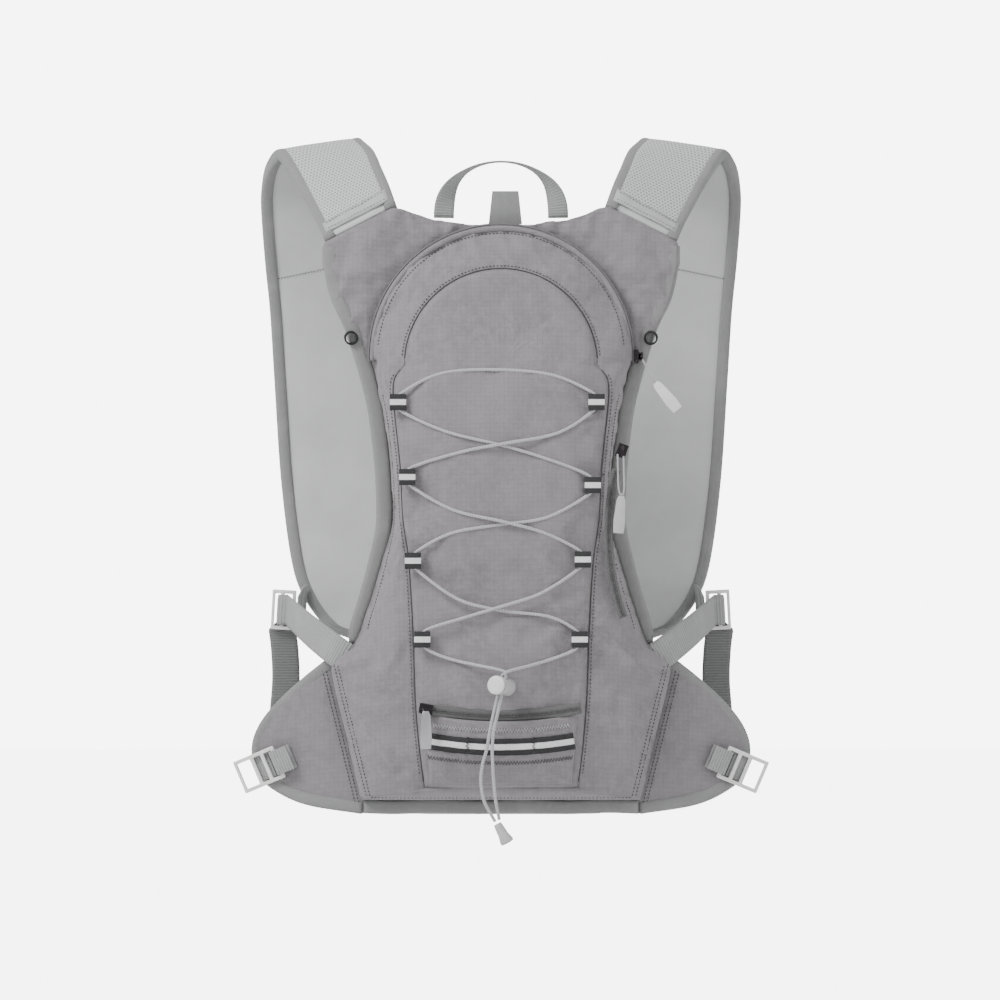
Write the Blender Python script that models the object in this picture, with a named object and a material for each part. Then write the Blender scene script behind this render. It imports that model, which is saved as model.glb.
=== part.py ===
"""A light vest-fit daypack, built as separate pieces.

Metres, +Z up, X to the pack's right as seen from behind the wearer, -Y away from the wearer.
The origin is midway between the undersides of the two shoulder-strap ridges,
where the wearer's shoulders carry the pack.
"""
import math

import bmesh
import bpy
from mathutils import Matrix, Vector

MM = 0.001
GAP = 0.3 * MM                      # clearance between pieces that touch on the real pack

# ---- body of the pack -------------------------------------------------------------------
BACK_FACE_Y = -75 * MM              # wearer side of the back panel
BACK_PANEL_THICKNESS = 6 * MM
BAG_DEPTH = 52 * MM                 # fullest depth of the compartment in front of the back panel
BAG_TOP_DEPTH = 26 * MM             # depth of the compartment at the top of its front panel
FRONT_CROWN = 0.18                  # how much flatter the front is at its side seams
BAG_FRONT = (BACK_FACE_Y - BACK_PANEL_THICKNESS - BAG_DEPTH) / MM    # the bag's fullest face, in mm
SHELL_THICKNESS = 1.6 * MM
FRONT_PANEL_THICKNESS = 1.2 * MM
POCKET_THICKNESS = 1.2 * MM
POCKET_BULGE = 5 * MM

ARCH_RADIUS = 105 * MM              # outer arch, which carries the main zip
ARCH_CENTRE_Z = -167 * MM
PANEL_ARCH_RADIUS = 77 * MM         # inner arch, the top of the front panel
PANEL_ARCH_CENTRE_Z = -174 * MM
BAG_BOTTOM_Z = -524 * MM
PANEL_BOTTOM_Z = -513 * MM
PANEL_TOP_Z = PANEL_ARCH_CENTRE_Z + PANEL_ARCH_RADIUS
FULL_DEPTH_Z = -260 * MM
BOTTOM_ROUND_Z = -468 * MM
BOTTOM_ROUND_HEIGHT = 62 * MM

# half widths down the pack, each as (height, half width)
BODY_EDGE = ((-93, 142), (-120, 136), (-146, 124), (-200, 108), (-235, 102.5),
             (-270, 99.5), (-303, 99.5), (-330, 105), (-360, 113), (-385, 120.5), (-398, 121))
BAG_EDGE = ((-167, 105), (-191, 99), (-215, 94.5), (-240, 90.5), (-266, 88.4), (-298, 87),
            (-330, 89.5), (-372, 101), (-398, 112), (-420, 122), (-470, 114), (-524, 104))
SIDE_SEAM = ((-174, 77), (-184, 84.5), (-194, 86), (-210, 85), (-258, 80), (-298, 78),
             (-330, 73.5), (-388, 70), (-444, 68), (-480, 65), (-513, 61))
NECKLINE = ((0, -61), (30, -60), (54, -57), (68, -52.5), (80, -48))
HIP_SEAM_TOP = (138, -410)
HIP_SEAM_BOTTOM = (110, -534)
BINDING_THICKNESS = 1.6 * MM

# ---- shoulder straps ----------------------------------------------------------------------
STRAP_THICKNESS = 7 * MM
STRAP_NECK_EDGE = ((87.5, -79, -41), (93, -64, -26), (99, -46, -12), (104, -26, 0), (111, -8, 7.5),
                   (115, 2, 10.4), (113, 16, 5), (108, 32, -14), (103, 44, -38), (96, 58, -84),
                   (91, 66, -130), (88, 70, -185), (86, 62, -266), (90, 40, -330),
                   (98, 28, -362), (108, 18, -386), (116, 12, -396))
STRAP_ARM_EDGE = ((142.5, -79, -69), (148, -66, -57), (157, -48, -40), (166, -30, -23),
                  (177, -10, -4.5), (183, 2, 0.5), (190, 14, -9), (193.5, 28, -23), (194.5, 40, -43),
                  (191.5, 56, -87), (187.5, 66, -128), (184, 70, -185), (178.5, 62, -266),
                  (170, 40, -330), (160, 29, -361), (141, 19, -386), (122, 13, -395))
STRAP_MESH_END = 5                  # the mesh cover runs from the shoulder seam to this point
MESH_THICKNESS = 1.0 * MM

# ---- webbing and locks -------------------------------------------------------------------
WEB_WIDTH = 25 * MM
WEB_THICKNESS = 1.5 * MM
BAR = 3 * MM                        # square bars of the plastic locks
STRAP_LOCK_LENGTH = 21 * MM
HIP_WEB_WIDTH = 20 * MM
HIP_LOCK_LENGTH = 37 * MM
HIP_LOCK_WIDTH = HIP_WEB_WIDTH + 2 * BAR
HIP_LOCK_TILT = math.radians(23)
HAUL_WEB_WIDTH = 20 * MM

# ---- hip fins -------------------------------------------------------------------------------
FIN_THICKNESS = 5 * MM
FIN_EDGE = ((138, -410), (161, -428.5), (182, -448.5), (194.5, -465), (200, -482),
            (197, -500), (186, -513), (158, -526.5), (112, -534))
FIN_HINGE_GAP = 3 * MM              # soft fold between the body and a fin
FIN_SWEEP = 22 * MM                 # how far the fin's tip leans towards the wearer

# ---- zips -----------------------------------------------------------------------------------
ZIP_WIDTH = 6 * MM
ZIP_THICKNESS = 1.2 * MM
SLIDER_LENGTH = 11 * MM
SLIDER_WIDTH = 8 * MM
SLIDER_THICKNESS = 3.2 * MM
BRIDGE_WIDTH = 2.6 * MM              # the low bridge on a slider that carries its pull
FRONT_ZIP_RADIUS = 330 * MM         # the pocket zip sags along this arc
FRONT_ZIP_LOW_Z = -455 * MM
FRONT_ZIP_HALF_LENGTH = 61 * MM
SIDE_ZIP_RADIUS = 200 * MM
SIDE_ZIP_WAIST_X = 86 * MM
SIDE_ZIP_WAIST_Z = -308 * MM
SIDE_ZIP_TOP_Z = -243 * MM
SIDE_ZIP_BOTTOM_Z = -376 * MM
MAIN_ZIP_Y = -90 * MM
PULL_CORD_DIAMETER = 1.5 * MM
PULL_CORD_SPREAD = 5 * MM

# ---- lacing ----------------------------------------------------------------------------------
CORD_DIAMETER = 2.6 * MM
TAB_SIZE = 13 * MM
TAB_DEPTH = 5.6 * MM
TAB_WALL = 0.9 * MM
TAB_CENTRES = ((-82.5, -204), (-75, -264), (-70.5, -331), (-63, -394),
               (76.5, -204), (73.5, -270.5), (65.5, -330), (63, -394))
LOCK_RADIUS = 7.2 * MM
LOCK_LENGTH = 17.5 * MM
LOCK_STEM_RADIUS = 5.0 * MM
LOCK_BUTTON_RADIUS = 7.6 * MM
LOCK_TRAVEL = 3.2 * MM
LOCK_CENTRE = (0.6, BAG_FRONT - 18.5, -431)
CORD_LEAN = 0.2256                  # sideways run of the cords below the lock, for each unit down
CORD_SPACING = 3.4                  # between the two cords in the lock, in millimetres
CORD_MEET = 0.15                    # lacing and tails stop this far short of the lock's middle
LOCK_RUN = 27                       # the lock can slide down this much of the cords

# One cord: up from the lock through the left and right tabs in turn, over the top, and back down.
# Each point is (x, lift off the front panel, z).
LACING_ROUTE = (
    (-19, 6, -414.5), (-41, 1, -409.5), (-59, 1.2, -402), (-62.5, 1.2, -394),
    (-59, 1.2, -386), (-26, 1.2, -375.5), (2, 4.4, -367), (32, 1.2, -357),
    (61.5, 1.2, -338), (65, 1.2, -330), (61.5, 1.2, -322), (34, 1.2, -308.5), (1, 4.4, -299.5),
    (-38, 1.2, -290.5), (-71, 1.2, -272), (-74.5, 1.2, -264), (-71, 1.2, -256),
    (-30, 1.2, -243.5), (4, 4.4, -237), (45, 1.2, -229), (72.5, 1.2, -212), (76, 1.2, -204),
    (72.5, 1.2, -196), (40, 1.2, -182), (-6, 1.2, -178), (-48, 1.2, -181), (-78.5, 1.2, -196),
    (-82, 1.2, -204), (-78.5, 1.2, -212), (-43, 1.2, -228), (6, 1.2, -240), (44, 1.2, -252),
    (69.5, 1.2, -262.5), (73, 1.2, -270.5), (69.5, 1.2, -278.5), (36, 1.2, -296.5),
    (-4, 1.2, -302.5), (-40, 1.2, -309), (-66.5, 1.2, -323), (-70, 1.2, -331), (-66.5, 1.2, -339),
    (-34, 1.2, -362), (2, 1.2, -371), (38, 1.2, -375.5), (59, 1.2, -386), (62.5, 1.2, -394),
    (59, 1.2, -402), (41, 1, -409.5), (22, 6, -415))
# The two free ends below the lock, down to the cord end: each point is (x, in front of the bag, z).
TAIL_LEFT_ROUTE = ((-9.1, -18.3, -468), (-11.2, -17.6, -481), (-14.8, -16.5, -494),
                   (-16, -15.6, -508), (-13.4, -15, -523), (-7.2, -14.2, -535),
                   (-4.6, -14, -539.4))
TAIL_RIGHT_ROUTE = ((-6.1, -18.9, -468), (-7.0, -17.9, -481), (-6.6, -16.5, -494),
                    (-5.8, -15.6, -508), (-4.2, -15, -523), (-2.2, -14.2, -533.5),
                    (-1.4, -14, -538))

FRONT_OF_BACK_PANEL = BACK_FACE_Y - BACK_PANEL_THICKNESS
BAG_BASE_Y = FRONT_OF_BACK_PANEL - GAP


# ---- small helpers ----------------------------------------------------------------------------
def clear_scene():
    for old in list(bpy.data.objects):
        bpy.data.objects.remove(old)


def material(name, colour, roughness=0.8, metallic=0.0):
    made = bpy.data.materials.new(name)
    made.use_nodes = True
    shader = made.node_tree.nodes["Principled BSDF"]
    shader.inputs["Base Color"].default_value = (*colour, 1)
    shader.inputs["Roughness"].default_value = roughness
    shader.inputs["Metallic"].default_value = metallic
    return made


def add_piece(name, bm, look):
    """Close a bmesh into one named object with its faces pointing out."""
    bmesh.ops.remove_doubles(bm, verts=bm.verts[:], dist=0.00002)
    bmesh.ops.recalc_face_normals(bm, faces=bm.faces[:])
    mesh = bpy.data.meshes.new(name)
    bm.to_mesh(mesh)
    bm.free()
    mesh.materials.append(look)
    piece = bpy.data.objects.new(name, mesh)
    bpy.context.scene.collection.objects.link(piece)
    return piece


def from_sections(name, sections, look, capped=True):
    """Skin a row of closed loops, all with the same number of points."""
    bm = bmesh.new()
    loops = [[bm.verts.new(p) for p in section] for section in sections]
    for lower, upper in zip(loops, loops[1:]):
        for i in range(len(lower)):
            j = (i + 1) % len(lower)
            bm.faces.new((lower[i], lower[j], upper[j], upper[i]))
    if capped:
        bm.faces.new(loops[0][::-1])
        bm.faces.new(loops[-1])
    return add_piece(name, bm, look)


def along(curve, height):
    """Read a width off a (height, width) list, both in mm, with a smooth curve between points."""
    z = height / MM
    rows = sorted(curve)
    if z <= rows[0][0]:
        return rows[0][1] * MM
    if z >= rows[-1][0]:
        return rows[-1][1] * MM
    k = next(i for i in range(len(rows) - 1) if z <= rows[i + 1][0])
    p0, p1, p2, p3 = (rows[max(0, min(len(rows) - 1, k + d))] for d in (-1, 0, 1, 2))
    t = (z - p1[0]) / (p2[0] - p1[0])
    m1 = (p2[1] - p0[1]) / (p2[0] - p0[0]) * (p2[0] - p1[0])
    m2 = (p3[1] - p1[1]) / (p3[0] - p1[0]) * (p2[0] - p1[0])
    h = (2 * t**3 - 3 * t**2 + 1) * p1[1] + (t**3 - 2 * t**2 + t) * m1
    return (h + (-2 * t**3 + 3 * t**2) * p2[1] + (t**3 - t**2) * m2) * MM


def smooth_path(points, steps):
    """A smooth curve through the points, with this many steps from each to the next."""
    points = [Vector(p) for p in points]
    path = []
    for k in range(len(points) - 1):
        p1, p2 = points[k], points[k + 1]
        p0 = points[k - 1] if k else p1 * 2 - p2
        p3 = points[k + 2] if k + 2 < len(points) else p2 * 2 - p1
        for s in range(steps):
            t = s / steps
            path.append(0.5 * (2 * p1 + (p2 - p0) * t + (2 * p0 - 5 * p1 + 4 * p2 - p3) * t**2
                               + (3 * p1 - p0 - 3 * p2 + p3) * t**3))
    path.append(points[-1])
    return path


def in_mm(points):
    return [Vector(p) * MM for p in points]


def mirrored(points, side):
    return [Vector((p[0] * side, p[1], p[2])) for p in points]


def strip(name, centres, width_ways, width, thickness, look):
    """A flat tape along a path; width_ways gives the direction of its width at each point."""
    sections = []
    for i, centre in enumerate(centres):
        ahead = centres[min(i + 1, len(centres) - 1)] - centres[max(i - 1, 0)]
        across = width_ways[i].normalized()
        face = ahead.cross(across).normalized() * (thickness / 2)
        half = across * (width / 2)
        sections.append([centre - half - face, centre + half - face,
                         centre + half + face, centre - half + face])
    return from_sections(name, sections, look)


def sheet_between(name, edge_a, edge_b, thickness, across, look):
    """A sheet ruled between two edge curves, thickened away from its outer face."""
    rows = []
    for a, b in zip(edge_a, edge_b):
        rows.append([a.lerp(b, j / across) for j in range(across + 1)])
    sections = []
    for i, row in enumerate(rows):
        before, after = rows[max(i - 1, 0)], rows[min(i + 1, len(rows) - 1)]
        inner = []
        for j, point in enumerate(row):
            side = row[min(j + 1, across)] - row[max(j - 1, 0)]
            normal = (after[j] - before[j]).cross(side).normalized()
            inner.append(point + normal * thickness)
        sections.append(row + inner[::-1])
    return from_sections(name, sections, look)


def plate(name, xs, zs, solid, thickness, look, place):
    """A flat plate with windows: one cell for each pair of grid lines, kept where solid says so."""
    bm = bmesh.new()
    front = {(i, j): bm.verts.new((x, -thickness / 2, z)) for i, x in enumerate(xs)
             for j, z in enumerate(zs)}
    back = {(i, j): bm.verts.new((x, thickness / 2, z)) for i, x in enumerate(xs)
            for j, z in enumerate(zs)}
    cells = {(i, j) for i in range(len(xs) - 1) for j in range(len(zs) - 1) if solid(i, j)}
    for i, j in cells:
        ring = ((i, j), (i + 1, j), (i + 1, j + 1), (i, j + 1))
        bm.faces.new([front[k] for k in ring])
        bm.faces.new([back[k] for k in reversed(ring)])
        sides = (((i, j - 1), ring[0], ring[1]), ((i + 1, j), ring[1], ring[2]),
                 ((i, j + 1), ring[2], ring[3]), ((i - 1, j), ring[3], ring[0]))
        for neighbour, p, q in sides:
            if neighbour not in cells:
                bm.faces.new((front[q], front[p], back[p], back[q]))
    loose = [v for v in bm.verts if not v.link_faces]
    bmesh.ops.delete(bm, geom=loose, context="VERTS")
    bmesh.ops.transform(bm, matrix=place, verts=bm.verts[:])
    return add_piece(name, bm, look)


def tube(name, path, diameter, look):
    """A round cord as a curve with filled ends."""
    curve = bpy.data.curves.new(name, "CURVE")
    curve.dimensions = "3D"
    curve.bevel_depth = diameter / 2
    curve.bevel_resolution = 2
    curve.use_fill_caps = True
    line = curve.splines.new("POLY")
    line.points.add(len(path) - 1)
    for point, p in zip(line.points, path):
        point.co = (*p, 1)
    curve.materials.append(look)
    piece = bpy.data.objects.new(name, curve)
    bpy.context.scene.collection.objects.link(piece)
    return piece


def block(name, size, place, look):
    bm = bmesh.new()
    bmesh.ops.create_cube(bm, size=1, matrix=place @ Matrix.Diagonal((*size, 1)))
    return add_piece(name, bm, look)


def frame_at(origin, x_way, z_way):
    """A placing matrix whose local X and Z point the given ways."""
    z = Vector(z_way).normalized()
    y = z.cross(Vector(x_way)).normalized()
    x = y.cross(z)
    turned = Matrix((x, y, z)).transposed().to_4x4()
    return Matrix.Translation(origin) @ turned


def pivot(name, origin, pieces):
    """Give moving pieces a parent empty that stands on their joint's axis."""
    empty = bpy.data.objects.new(name, None)
    empty.location = origin
    bpy.context.scene.collection.objects.link(empty)
    bpy.context.view_layer.update()
    for piece in pieces:
        piece.parent = empty
        piece.matrix_parent_inverse = empty.matrix_world.inverted()
    return empty


# ---- the shape of the bag's front ---------------------------------------------------------------
def centre_depth(z):
    """Depth of the bag on its centre line, in front of the back panel."""
    t = max(0, min(1, (PANEL_TOP_Z - z) / (PANEL_TOP_Z - FULL_DEPTH_Z)))
    depth = BAG_TOP_DEPTH + (BAG_DEPTH - BAG_TOP_DEPTH) * (t * t * (3 - 2 * t))
    below = max(0, min(1, (BOTTOM_ROUND_Z - z) / BOTTOM_ROUND_HEIGHT))
    return depth * math.sqrt(1 - below * below * 0.92)


def seam_half_width(z):
    """Half width of the front panel: its arch above, its side seams below."""
    if z > PANEL_ARCH_CENTRE_Z:
        rise = z - PANEL_ARCH_CENTRE_Z
        return math.sqrt(max(0, PANEL_ARCH_RADIUS**2 - rise**2))
    return along(SIDE_SEAM, z)


def panel_depth(x, z):
    """Depth of the bag's skin anywhere under the front panel."""
    share = min(1, abs(x) / max(seam_half_width(z), 1 * MM))
    arch = 1.0
    if z > PANEL_ARCH_CENTRE_Z:
        reach = math.hypot(x, z - PANEL_ARCH_CENTRE_Z) / PANEL_ARCH_RADIUS
        arch = 1 - FRONT_CROWN * min(1, reach) ** 4
        share = 0
    return centre_depth(z) * (1 - FRONT_CROWN * share**4) * arch


def front_y(x, z):
    """Where the outer face of the front panel is."""
    return BAG_BASE_Y - panel_depth(x, z) - PANEL_LIFT - FRONT_PANEL_THICKNESS


def outline_pairs(turns, rows):
    """Matching points round the front panel's seam and round the bag's edge, left to right."""
    seam, edge = [], []
    for k in range(rows):
        share = k / rows
        z_seam = PANEL_BOTTOM_Z + (PANEL_ARCH_CENTRE_Z - PANEL_BOTTOM_Z) * share
        z_edge = BAG_BOTTOM_Z + (ARCH_CENTRE_Z - BAG_BOTTOM_Z) * share
        seam.append((-seam_half_width(z_seam), z_seam))
        edge.append((-along(BAG_EDGE, z_edge), z_edge))
    for k in range(turns + 1):
        angle = math.pi * (1 - k / turns)
        seam.append((PANEL_ARCH_RADIUS * math.cos(angle),
                     PANEL_ARCH_CENTRE_Z + PANEL_ARCH_RADIUS * math.sin(angle)))
        edge.append((ARCH_RADIUS * math.cos(angle), ARCH_CENTRE_Z + ARCH_RADIUS * math.sin(angle)))
    for k in range(rows - 1, -1, -1):
        seam.append((-seam[k][0], seam[k][1]))
        edge.append((-edge[k][0], edge[k][1]))
    bottom = 6
    for k in range(1, bottom):
        share = 1 - 2 * k / bottom
        seam.append((seam_half_width(PANEL_BOTTOM_Z) * share, PANEL_BOTTOM_Z))
        edge.append((along(BAG_EDGE, BAG_BOTTOM_Z) * share, BAG_BOTTOM_Z))
    return seam, edge


SPINE_TOP_Z = PANEL_ARCH_CENTRE_Z
SPINE_BOTTOM_Z = PANEL_BOTTOM_Z + 60 * MM


def panel_ring(seam, share, lift):
    """One loop of the front panel, from its spine (0) out to its seam (1)."""
    ring = []
    for x, z in seam:
        spine = max(SPINE_BOTTOM_Z, min(SPINE_TOP_Z, z))
        px, pz = x * share, spine + (z - spine) * share
        ring.append(Vector((px, BAG_BASE_Y - panel_depth(px, pz) - lift, pz)))
    return ring


def gusset_ring(seam, edge, share, inset):
    """One loop of the side gusset, from the panel seam (0) out to the bag's edge (1)."""
    ring = []
    for (sx, sz), (ex, ez) in zip(seam, edge):
        px, pz = sx + (ex - sx) * share, sz + (ez - sz) * share
        depth = panel_depth(sx, sz) * math.sqrt(max(0, 1 - share * share))
        out = Vector((ex - sx, 0, ez - sz))
        if out.length < 1 * MM:
            out = Vector((0, 0, -1))
        out.normalize()
        ring.append(Vector((px, BAG_BASE_Y - max(0, depth - inset), pz)) - out * inset * share)
    return ring


PANEL_LIFT = BAG_DEPTH / 65             # a deeper bag needs its panel to stand further off it
PANEL_SHARES = (0, 0.25, 0.5, 0.7, 0.85, 0.94, 1)
GUSSET_SHARES = (0.35, 0.65, 0.85, 0.96, 1)


def make_main_bag(look):
    """The compartment: an open-backed shell, closed by the back panel."""
    seam, edge = outline_pairs(turns=18, rows=16)
    loops = [panel_ring(seam, s, 0) for s in PANEL_SHARES]
    loops += [gusset_ring(seam, edge, s, 0) for s in GUSSET_SHARES]
    loops += [gusset_ring(seam, edge, s, SHELL_THICKNESS) for s in reversed(GUSSET_SHARES)]
    loops += [panel_ring(seam, s, -SHELL_THICKNESS) for s in reversed(PANEL_SHARES)]
    return from_sections("main_bag", loops, look, capped=False)


def make_front_panel(look):
    seam, _ = outline_pairs(turns=18, rows=16)
    shares = (*PANEL_SHARES[:-1], 0.985)
    loops = [panel_ring(seam, s, PANEL_LIFT + FRONT_PANEL_THICKNESS) for s in shares]
    loops += [panel_ring(seam, s, PANEL_LIFT) for s in reversed(shares)]
    return from_sections("front_panel", loops, look, capped=False)


def front_zip_centre():
    return Vector((0, 0, FRONT_ZIP_LOW_Z + FRONT_ZIP_RADIUS))


def front_zip_z(x, offset):
    """Height of the pocket zip's line at x, moved down by offset."""
    radius = FRONT_ZIP_RADIUS + offset
    return front_zip_centre().z - math.sqrt(radius**2 - x * x)


def front_zip_y():
    """The flat plane that the pocket zip slides in."""
    return front_y(0, FRONT_ZIP_LOW_Z) - GAP - ZIP_THICKNESS


POCKET_SEAM_INSET = 4 * MM


def make_front_pocket(look):
    """The low pocket below its zip, bulging a little off the front panel."""
    columns, rows = 12, 8
    outer, inner = [], []
    for i in range(rows + 1):
        down = i / rows
        outer_row, inner_row = [], []
        for j in range(columns + 1):
            share = 2 * j / columns - 1
            half = FRONT_ZIP_HALF_LENGTH + (seam_half_width(PANEL_BOTTOM_Z) - POCKET_SEAM_INSET
                                            - FRONT_ZIP_HALF_LENGTH) * down
            x = half * share
            top = front_zip_z(x, SLIDER_WIDTH / 2 + GAP * 2)
            z = top + (PANEL_BOTTOM_Z + 3 * MM - top) * down
            puff = POCKET_BULGE * (1 - share**4) * math.sin(math.pi * min(1, 0.12 + down)) ** 0.5
            skin = front_y(x, z) - GAP * 2 - max(0, puff)
            outer_row.append(Vector((x, skin - POCKET_THICKNESS, z)))
            inner_row.append(Vector((x, skin, z)))
        outer.append(outer_row)
        inner.append(inner_row)
    sections = [o + n[::-1] for o, n in zip(outer, inner)]
    return from_sections("front_pocket", sections, look)


# ---- flat pieces of the body --------------------------------------------------------------------
def back_outline():
    """The back panel's outline, right half, from the neckline down to the bottom."""
    right = [Vector((x, 0, z)) * MM for x, z in NECKLINE]
    for x, _, z in (STRAP_NECK_EDGE[0], STRAP_ARM_EDGE[0]):
        right.append(Vector((x * MM, 0, z * MM - STRAP_THICKNESS * 0.8 - GAP)))
    steps = 20
    top, low = BODY_EDGE[0][0] * MM, BODY_EDGE[-1][0] * MM
    for k in range(steps + 1):
        z = top + (low - top) * k / steps
        right.append(Vector((along(BODY_EDGE, z), 0, z)))
    right.append(Vector((HIP_SEAM_TOP[0] * MM - 1 * MM, 0, HIP_SEAM_TOP[1] * MM)))
    right.append(Vector((HIP_SEAM_BOTTOM[0] * MM - 1 * MM, 0, HIP_SEAM_BOTTOM[1] * MM)))
    right.append(Vector((55 * MM, 0, HIP_SEAM_BOTTOM[1] * MM - 1.5 * MM)))
    return right


def make_back_panel(look):
    right = back_outline()
    left = [Vector((-p.x, 0, p.z)) for p in reversed(right) if p.x > 0]
    outline = right + left
    front = [Vector((p.x, FRONT_OF_BACK_PANEL, p.z)) for p in outline]
    back = [Vector((p.x, BACK_FACE_Y, p.z)) for p in outline]
    return from_sections("back_panel", [front, back], look)


def make_yoke_panel(name, side, look):
    """Shoulder fabric between the bag's arch and the edge of the pack."""
    steps = 16
    inner, outer = [], []
    edge = [p for p in back_outline() if p.z > -160 * MM and p.x > 20 * MM]
    path = smooth_path([edge[0].lerp(edge[1], 0.5)] + edge[1:], 4)
    for k in range(steps + 1):
        angle = math.radians(78 - 73 * k / steps)
        radius = ARCH_RADIUS + 1.2 * MM
        inner.append(Vector((radius * math.cos(angle), 0, ARCH_CENTRE_Z + radius * math.sin(angle))))
        target = path[round(k / steps * (len(path) - 1))]
        outer.append(inner[-1].lerp(target, 0.96))
    y = FRONT_OF_BACK_PANEL - GAP
    thickness = 0.9 * MM
    sections = []
    for a, b in zip(inner, outer):
        sections.append([Vector((a.x * side, y, a.z)), Vector((b.x * side, y, b.z)),
                         Vector((b.x * side, y - thickness, b.z)),
                         Vector((a.x * side, y - thickness, a.z))])
    return from_sections(name, sections, look)


def make_armhole_binding(name, side, look):
    """Folded edge tape along the armhole, from below the yoke down to the hip fin."""
    steps = 14
    top, low = -172 * MM, BODY_EDGE[-1][0] * MM + 2 * MM
    y = FRONT_OF_BACK_PANEL - GAP
    sections = []
    for k in range(steps + 1):
        z = top + (low - top) * k / steps
        inner = along(BAG_EDGE, z) + 0.8 * MM
        outer = along(BODY_EDGE, z) + 1 * MM
        sections.append([Vector((inner * side, y, z)), Vector((outer * side, y, z)),
                         Vector((outer * side, y - BINDING_THICKNESS, z)),
                         Vector((inner * side, y - BINDING_THICKNESS, z))])
    return from_sections(name, sections, look)


def make_bottom_binding(look):
    half = HIP_SEAM_BOTTOM[0] * MM - 2 * MM
    y = FRONT_OF_BACK_PANEL - GAP - BINDING_THICKNESS / 2
    low, high = HIP_SEAM_BOTTOM[1] * MM, BAG_BOTTOM_Z - GAP * 2
    size = (2 * half, BINDING_THICKNESS, high - low)
    return block("bottom_binding", size, Matrix.Translation((0, y, (high + low) / 2)), look)


def make_bladder_sleeve(look):
    """The pocket inside the compartment that holds a water bladder against the back."""
    size = (130 * MM, 2 * MM, 250 * MM)
    place = Matrix.Translation((0, BAG_BASE_Y - 4 * MM, -355 * MM))
    return block("bladder_sleeve", size, place, look)


def make_bladder_hanger(look):
    """The short tape above the sleeve that a bladder hangs from."""
    size = (18 * MM, 1.5 * MM, 45 * MM)
    place = Matrix.Translation((0, BAG_BASE_Y - 4 * MM, -190 * MM))
    return block("bladder_hanger", size, place, look)


# ---- shoulder straps ---------------------------------------------------------------------------
def strap_edges(side, steps):
    neck = mirrored(smooth_path(in_mm(STRAP_NECK_EDGE), steps), side)
    arm = mirrored(smooth_path(in_mm(STRAP_ARM_EDGE), steps), side)
    return neck, arm


def make_strap(name, side, look):
    neck, arm = strap_edges(side, 2)
    return sheet_between(name, neck, arm, STRAP_THICKNESS * side, 4, look)


def make_strap_mesh(name, side, look):
    """The open mesh that covers the strap from its seam to the top of the shoulder."""
    neck, arm = strap_edges(side, 2)
    count = STRAP_MESH_END * 2
    lifted_neck, lifted_arm = [], []
    for k in range(1, count):
        way = (neck[k + 1] - neck[k - 1]).cross(arm[k] - neck[k]).normalized() * -side
        lift = way * (GAP * 4 + MESH_THICKNESS)
        lifted_neck.append(neck[k].lerp(arm[k], 0.17) + lift)
        lifted_arm.append(neck[k].lerp(arm[k], 0.83) + lift)
    return sheet_between(name, lifted_neck, lifted_arm, MESH_THICKNESS * side, 2, look)


# ---- shoulder adjusters ---------------------------------------------------------------------------
STRAP_LOCK_BAR_TOP = (-177.0, -1.0, -357.5)
STRAP_LOCK_BAR_LOW = (-178.5, -1.0, -385.5)
ADJUSTER_ROOT_TOP = (-117.5, -89.0, -400)
ADJUSTER_ROOT_LOW = (-130.5, -89.0, -420)
ADJUSTER_BEND = (150, -92, -392)      # pulls the webbing clear of the body's side seam
# the free end's inner edge, each point as (inward of the bar, back, down)
ADJUSTER_TAIL = ((12.5, 1.2, 14.5), (14.5, 2, 32), (15.5, 2, 56), (13.5, 1, 84))


def strap_lock_frame(side):
    """Placing matrix of a strap lock: local Z along its bars, local X towards the strap."""
    top, low = mirrored(in_mm((STRAP_LOCK_BAR_TOP, STRAP_LOCK_BAR_LOW)), -side)
    return frame_at((top + low) / 2, Vector((-side, 0, 0)), top - low)


def make_strap_lock(name, side, look):
    """A plastic ladder lock: the outer bar carries the webbing, the inner one the strap's tab."""
    half = (WEB_WIDTH + 2 * BAR) / 2 + 0.7 * MM
    outer = BAR / 2
    xs = (-outer - 7 * MM, -outer - 4.5 * MM, -outer, outer,
          STRAP_LOCK_LENGTH - 13 * MM, STRAP_LOCK_LENGTH - 10 * MM)
    zs = (-half, -half + BAR, half - BAR, half)
    windows = {(1, 1), (3, 1)}
    return plate(name, xs, zs, lambda i, j: (i, j) not in windows, BAR, look,
                 strap_lock_frame(side))


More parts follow.
